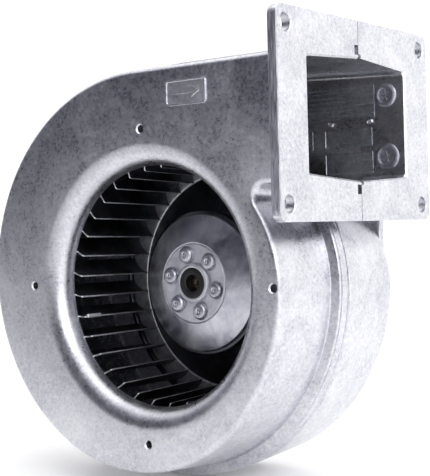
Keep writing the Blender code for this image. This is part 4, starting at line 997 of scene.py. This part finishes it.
def make_hub():
    cup = turned("pressed_rotor_cup", filleted([
        (7.2, 35.8, 0.2), (18.05, 35.8, 0.3), (18.05, 34.1, 0.5), (31.4, 38.6, 0.9),
        (31.4, 78.0, 0.3), (29.9, 78.0, 0.3), (29.9, 40.1, 1.0), (19.0, 37.3, 1.0), (7.2, 37.3, 0.2)], 7))
    hub = turned("stamped_hub_plate", filleted([
        (7.2, 33.2, 0.3), (8.1, 33.2, 0.3), (8.35, 34.0, 0.3), (17.75, 34.0, 0.5), (17.75, 35.5, 0.2),
        (7.2, 35.5, 0.2)], 4), 96)
    for piece in (cup, hub):
        for place in RIVET_PLACES:
            cut(piece, drill(RIVET_HOLE, 31.0, 40.0, place, segments=24))
    dress(cup, CUP_STEEL, "rotor", ("rotor_cup",))
    dress(hub, HUB_STEEL, "rotor", ("hub_plate",))
    rivet = turned("rivet", filleted([
        (0, 33.05), (0.9, 33.0, 0.2), (1.5, 32.35, 0.3), (2.6, 32.3, 0.5), (3.2, 33.0, 0.45),
        (3.2, 33.7, 0.1), (2.0, 33.7), (2.0, 37.6), (2.9, 37.6, 0.2), (2.9, 38.6, 0.3),
        (0, 38.6)], 4, closed=False), SMALL, rod=True)
    for number, place in enumerate(RIVET_PLACES, 1):
        twin = set_down(copied(rivet, f"tubular_rivet_{number}"), *place)
        dress(twin, RIVET_STEEL, "rotor", (f"rivet_{number}",))
    bpy.data.objects.remove(rivet)
    bush = turned("moulded_hub_bush", filleted([
        (4.3, 33.0, 0.3), (6.9, 33.0, 0.4), (6.9, 46.2, 0.3), (4.3, 46.2, 0.2)], 4), 64)
    dress(bush, BUSH_PLASTIC, "rotor", ("hub_bush",))
    shaft = turned("ground_shaft", filleted([
        (0, 37.4), (0.9, 37.4, 0.1), (1.4, 36.8, 0.2), (4.0, 36.8, 0.5), (4.0, 84.0, 0.5), (0, 84.0)], 4,
        closed=False), 48, rod=True)
    dress(shaft, SHAFT_STEEL, "rotor", ("shaft",))


make_front_shell()
make_rear_shell()
make_screws()
make_motor_plate()
make_blades()
make_wheel_rings()
make_hub()

# The motor's own nodes stay as packed and take their real finishes.
RINGS = [f"bearing_{end}_{ring}_ring" for end in ("front", "rear") for ring in ("outer", "inner")]
for finish, node_names in (
    (CORE_STACK, ("stator_core", "rotor_core")), (INSULATOR_NYLON, ("insulator_front", "insulator_rear")),
    (BEARING_STEEL, RINGS), (ZINC_STEEL, ("retaining_ring", "preload_washer")),
    (CAGE_CASTING, ("cage_end_ring_front", "cage_end_ring_rear")),
    (COIL_WIRE, [f"coil_{number}" for number in range(1, 7)]),
):
    for node_name in node_names:
        node_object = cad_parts[node_name]
        node_object.data.materials.clear()
        node_object.data.materials.append(finish)


# Floor, light and camera.

def make_stage():
    floor_height = cad_bounds[0].z - 0.0005
    clear_selection()
    bpy.ops.mesh.primitive_plane_add(size=1, location=(0, 0, floor_height), scale=(1, 1, 1))
    floor = named("pale_floor")
    edit(floor)
    bpy.ops.transform.resize(value=(6, 6, 1))
    close_edit()
    settle(floor)
    material, tree, shader, place = new_finish("pale_floor_painted_flag_shadow", "F2F2F2", 0.0, 0.7)
    # Painted shadow: the floor greys softly towards the dark flag, past the front left of the fan, as if the
    # flag shaded it.
    away = add(tree, "ShaderNodeVectorMath", {0: place, 1: FLAG_DIRECTION}, operation="DOT_PRODUCT")
    reach = add(tree, "ShaderNodeMapRange", {"Value": away.outputs["Value"], "From Min": 0.07,
                                             "From Max": 0.45}, interpolation_type="SMOOTHSTEP")
    cloud = add(tree, "ShaderNodeTexNoise", {"Vector": place, "Scale": 3.0, "Detail": 2.0})
    painted_shadow_tone = add(tree, "ShaderNodeMath", {0: cloud.outputs["Fac"], 1: 0.05, 2: reach.outputs[0]},
                operation="MULTIPLY_ADD")
    tone = add(tree, "ShaderNodeValToRGB", {"Fac": painted_shadow_tone.outputs[0]},
               stops=[(0.0, "F8F8F8"), (1.0, "C2C2C5")])
    tree.links.new(tone.outputs["Color"], shader.inputs["Base Color"])
    shader.inputs["Emission Color"].default_value = (1, 1, 1, 1)
    shader.inputs["Emission Strength"].default_value = 0.08
    floor.data.materials.append(material)


def make_studio_light():
    """A white tent round the fan with one dark flag at its front left."""
    bpy.context.scene.view_settings.view_transform = "Standard"
    world = bpy.data.worlds.new("white_tent")
    bpy.context.scene.world = world
    world.use_nodes = True
    tree = world.node_tree
    way = add(tree, "ShaderNodeTexCoord").outputs["Generated"]
    toward = add(tree, "ShaderNodeVectorMath", {0: way, 1: FLAG_DIRECTION}, operation="DOT_PRODUCT")
    flag = add(tree, "ShaderNodeMapRange", {"Value": toward.outputs["Value"], "From Min": 0.08,
                                            "From Max": 0.72, "To Min": 1.25, "To Max": 0.085},
               interpolation_type="SMOOTHSTEP")
    shade = add(tree, "ShaderNodeMix", {"Factor": flag.outputs[0], 6: sheen("D2D3F0"), 7: sheen("FFFFFF")},
                data_type="RGBA")
    tree.links.new(shade.outputs[2], tree.nodes["Background"].inputs["Color"])
    tree.links.new(flag.outputs[0], tree.nodes["Background"].inputs["Strength"])


def soft_box(name, size, power, place, target):
    clear_selection()
    bpy.ops.object.light_add(type="AREA", location=place)
    lamp = bpy.context.object
    lamp.name = name
    lamp.data.size = size
    lamp.data.energy = power
    lamp.rotation_euler = (Vector(target) - Vector(place)).to_track_quat("-Z", "Y").to_euler()


def make_camera():
    place = Vector([part * CAMERA_UNIT + shift for part, shift in zip(CAMERA_PLACE, AXIS_PLACE)]) * MM
    heading, tilt, roll = [math.radians(angle) for angle in CAMERA_TURN]
    ahead = Vector((-math.sin(heading) * math.cos(tilt), math.cos(heading) * math.cos(tilt), -math.sin(tilt)))
    level = Vector((math.cos(heading), math.sin(heading), 0))
    upright = level.cross(ahead)
    right = math.cos(roll) * level + math.sin(roll) * upright
    up = -math.sin(roll) * level + math.cos(roll) * upright
    stand = Matrix((right, up, -ahead)).transposed().to_4x4()
    stand.translation = place
    lens = bpy.data.cameras.new("studio_camera")
    lens.sensor_width = CAMERA_SENSOR
    lens.lens = CAMERA_FOCUS * CAMERA_SENSOR / FRAME
    lens.shift_x = CAMERA_SHIFT[0] / FRAME
    lens.shift_y = CAMERA_SHIFT[1] / FRAME
    camera = bpy.data.objects.new("studio_camera", lens)
    bpy.context.scene.collection.objects.link(camera)
    camera.matrix_world = stand
    bpy.context.scene.camera = camera


make_stage()
make_studio_light()
soft_box("front_right_box", 0.9, 6.0, (0.9, -0.8, 0.5), (-0.05, 0, -0.05))
soft_box("overhead_box", 1.2, 3.0, (0.0, -0.1, 1.2), (-0.08, 0, -0.07))
make_camera()
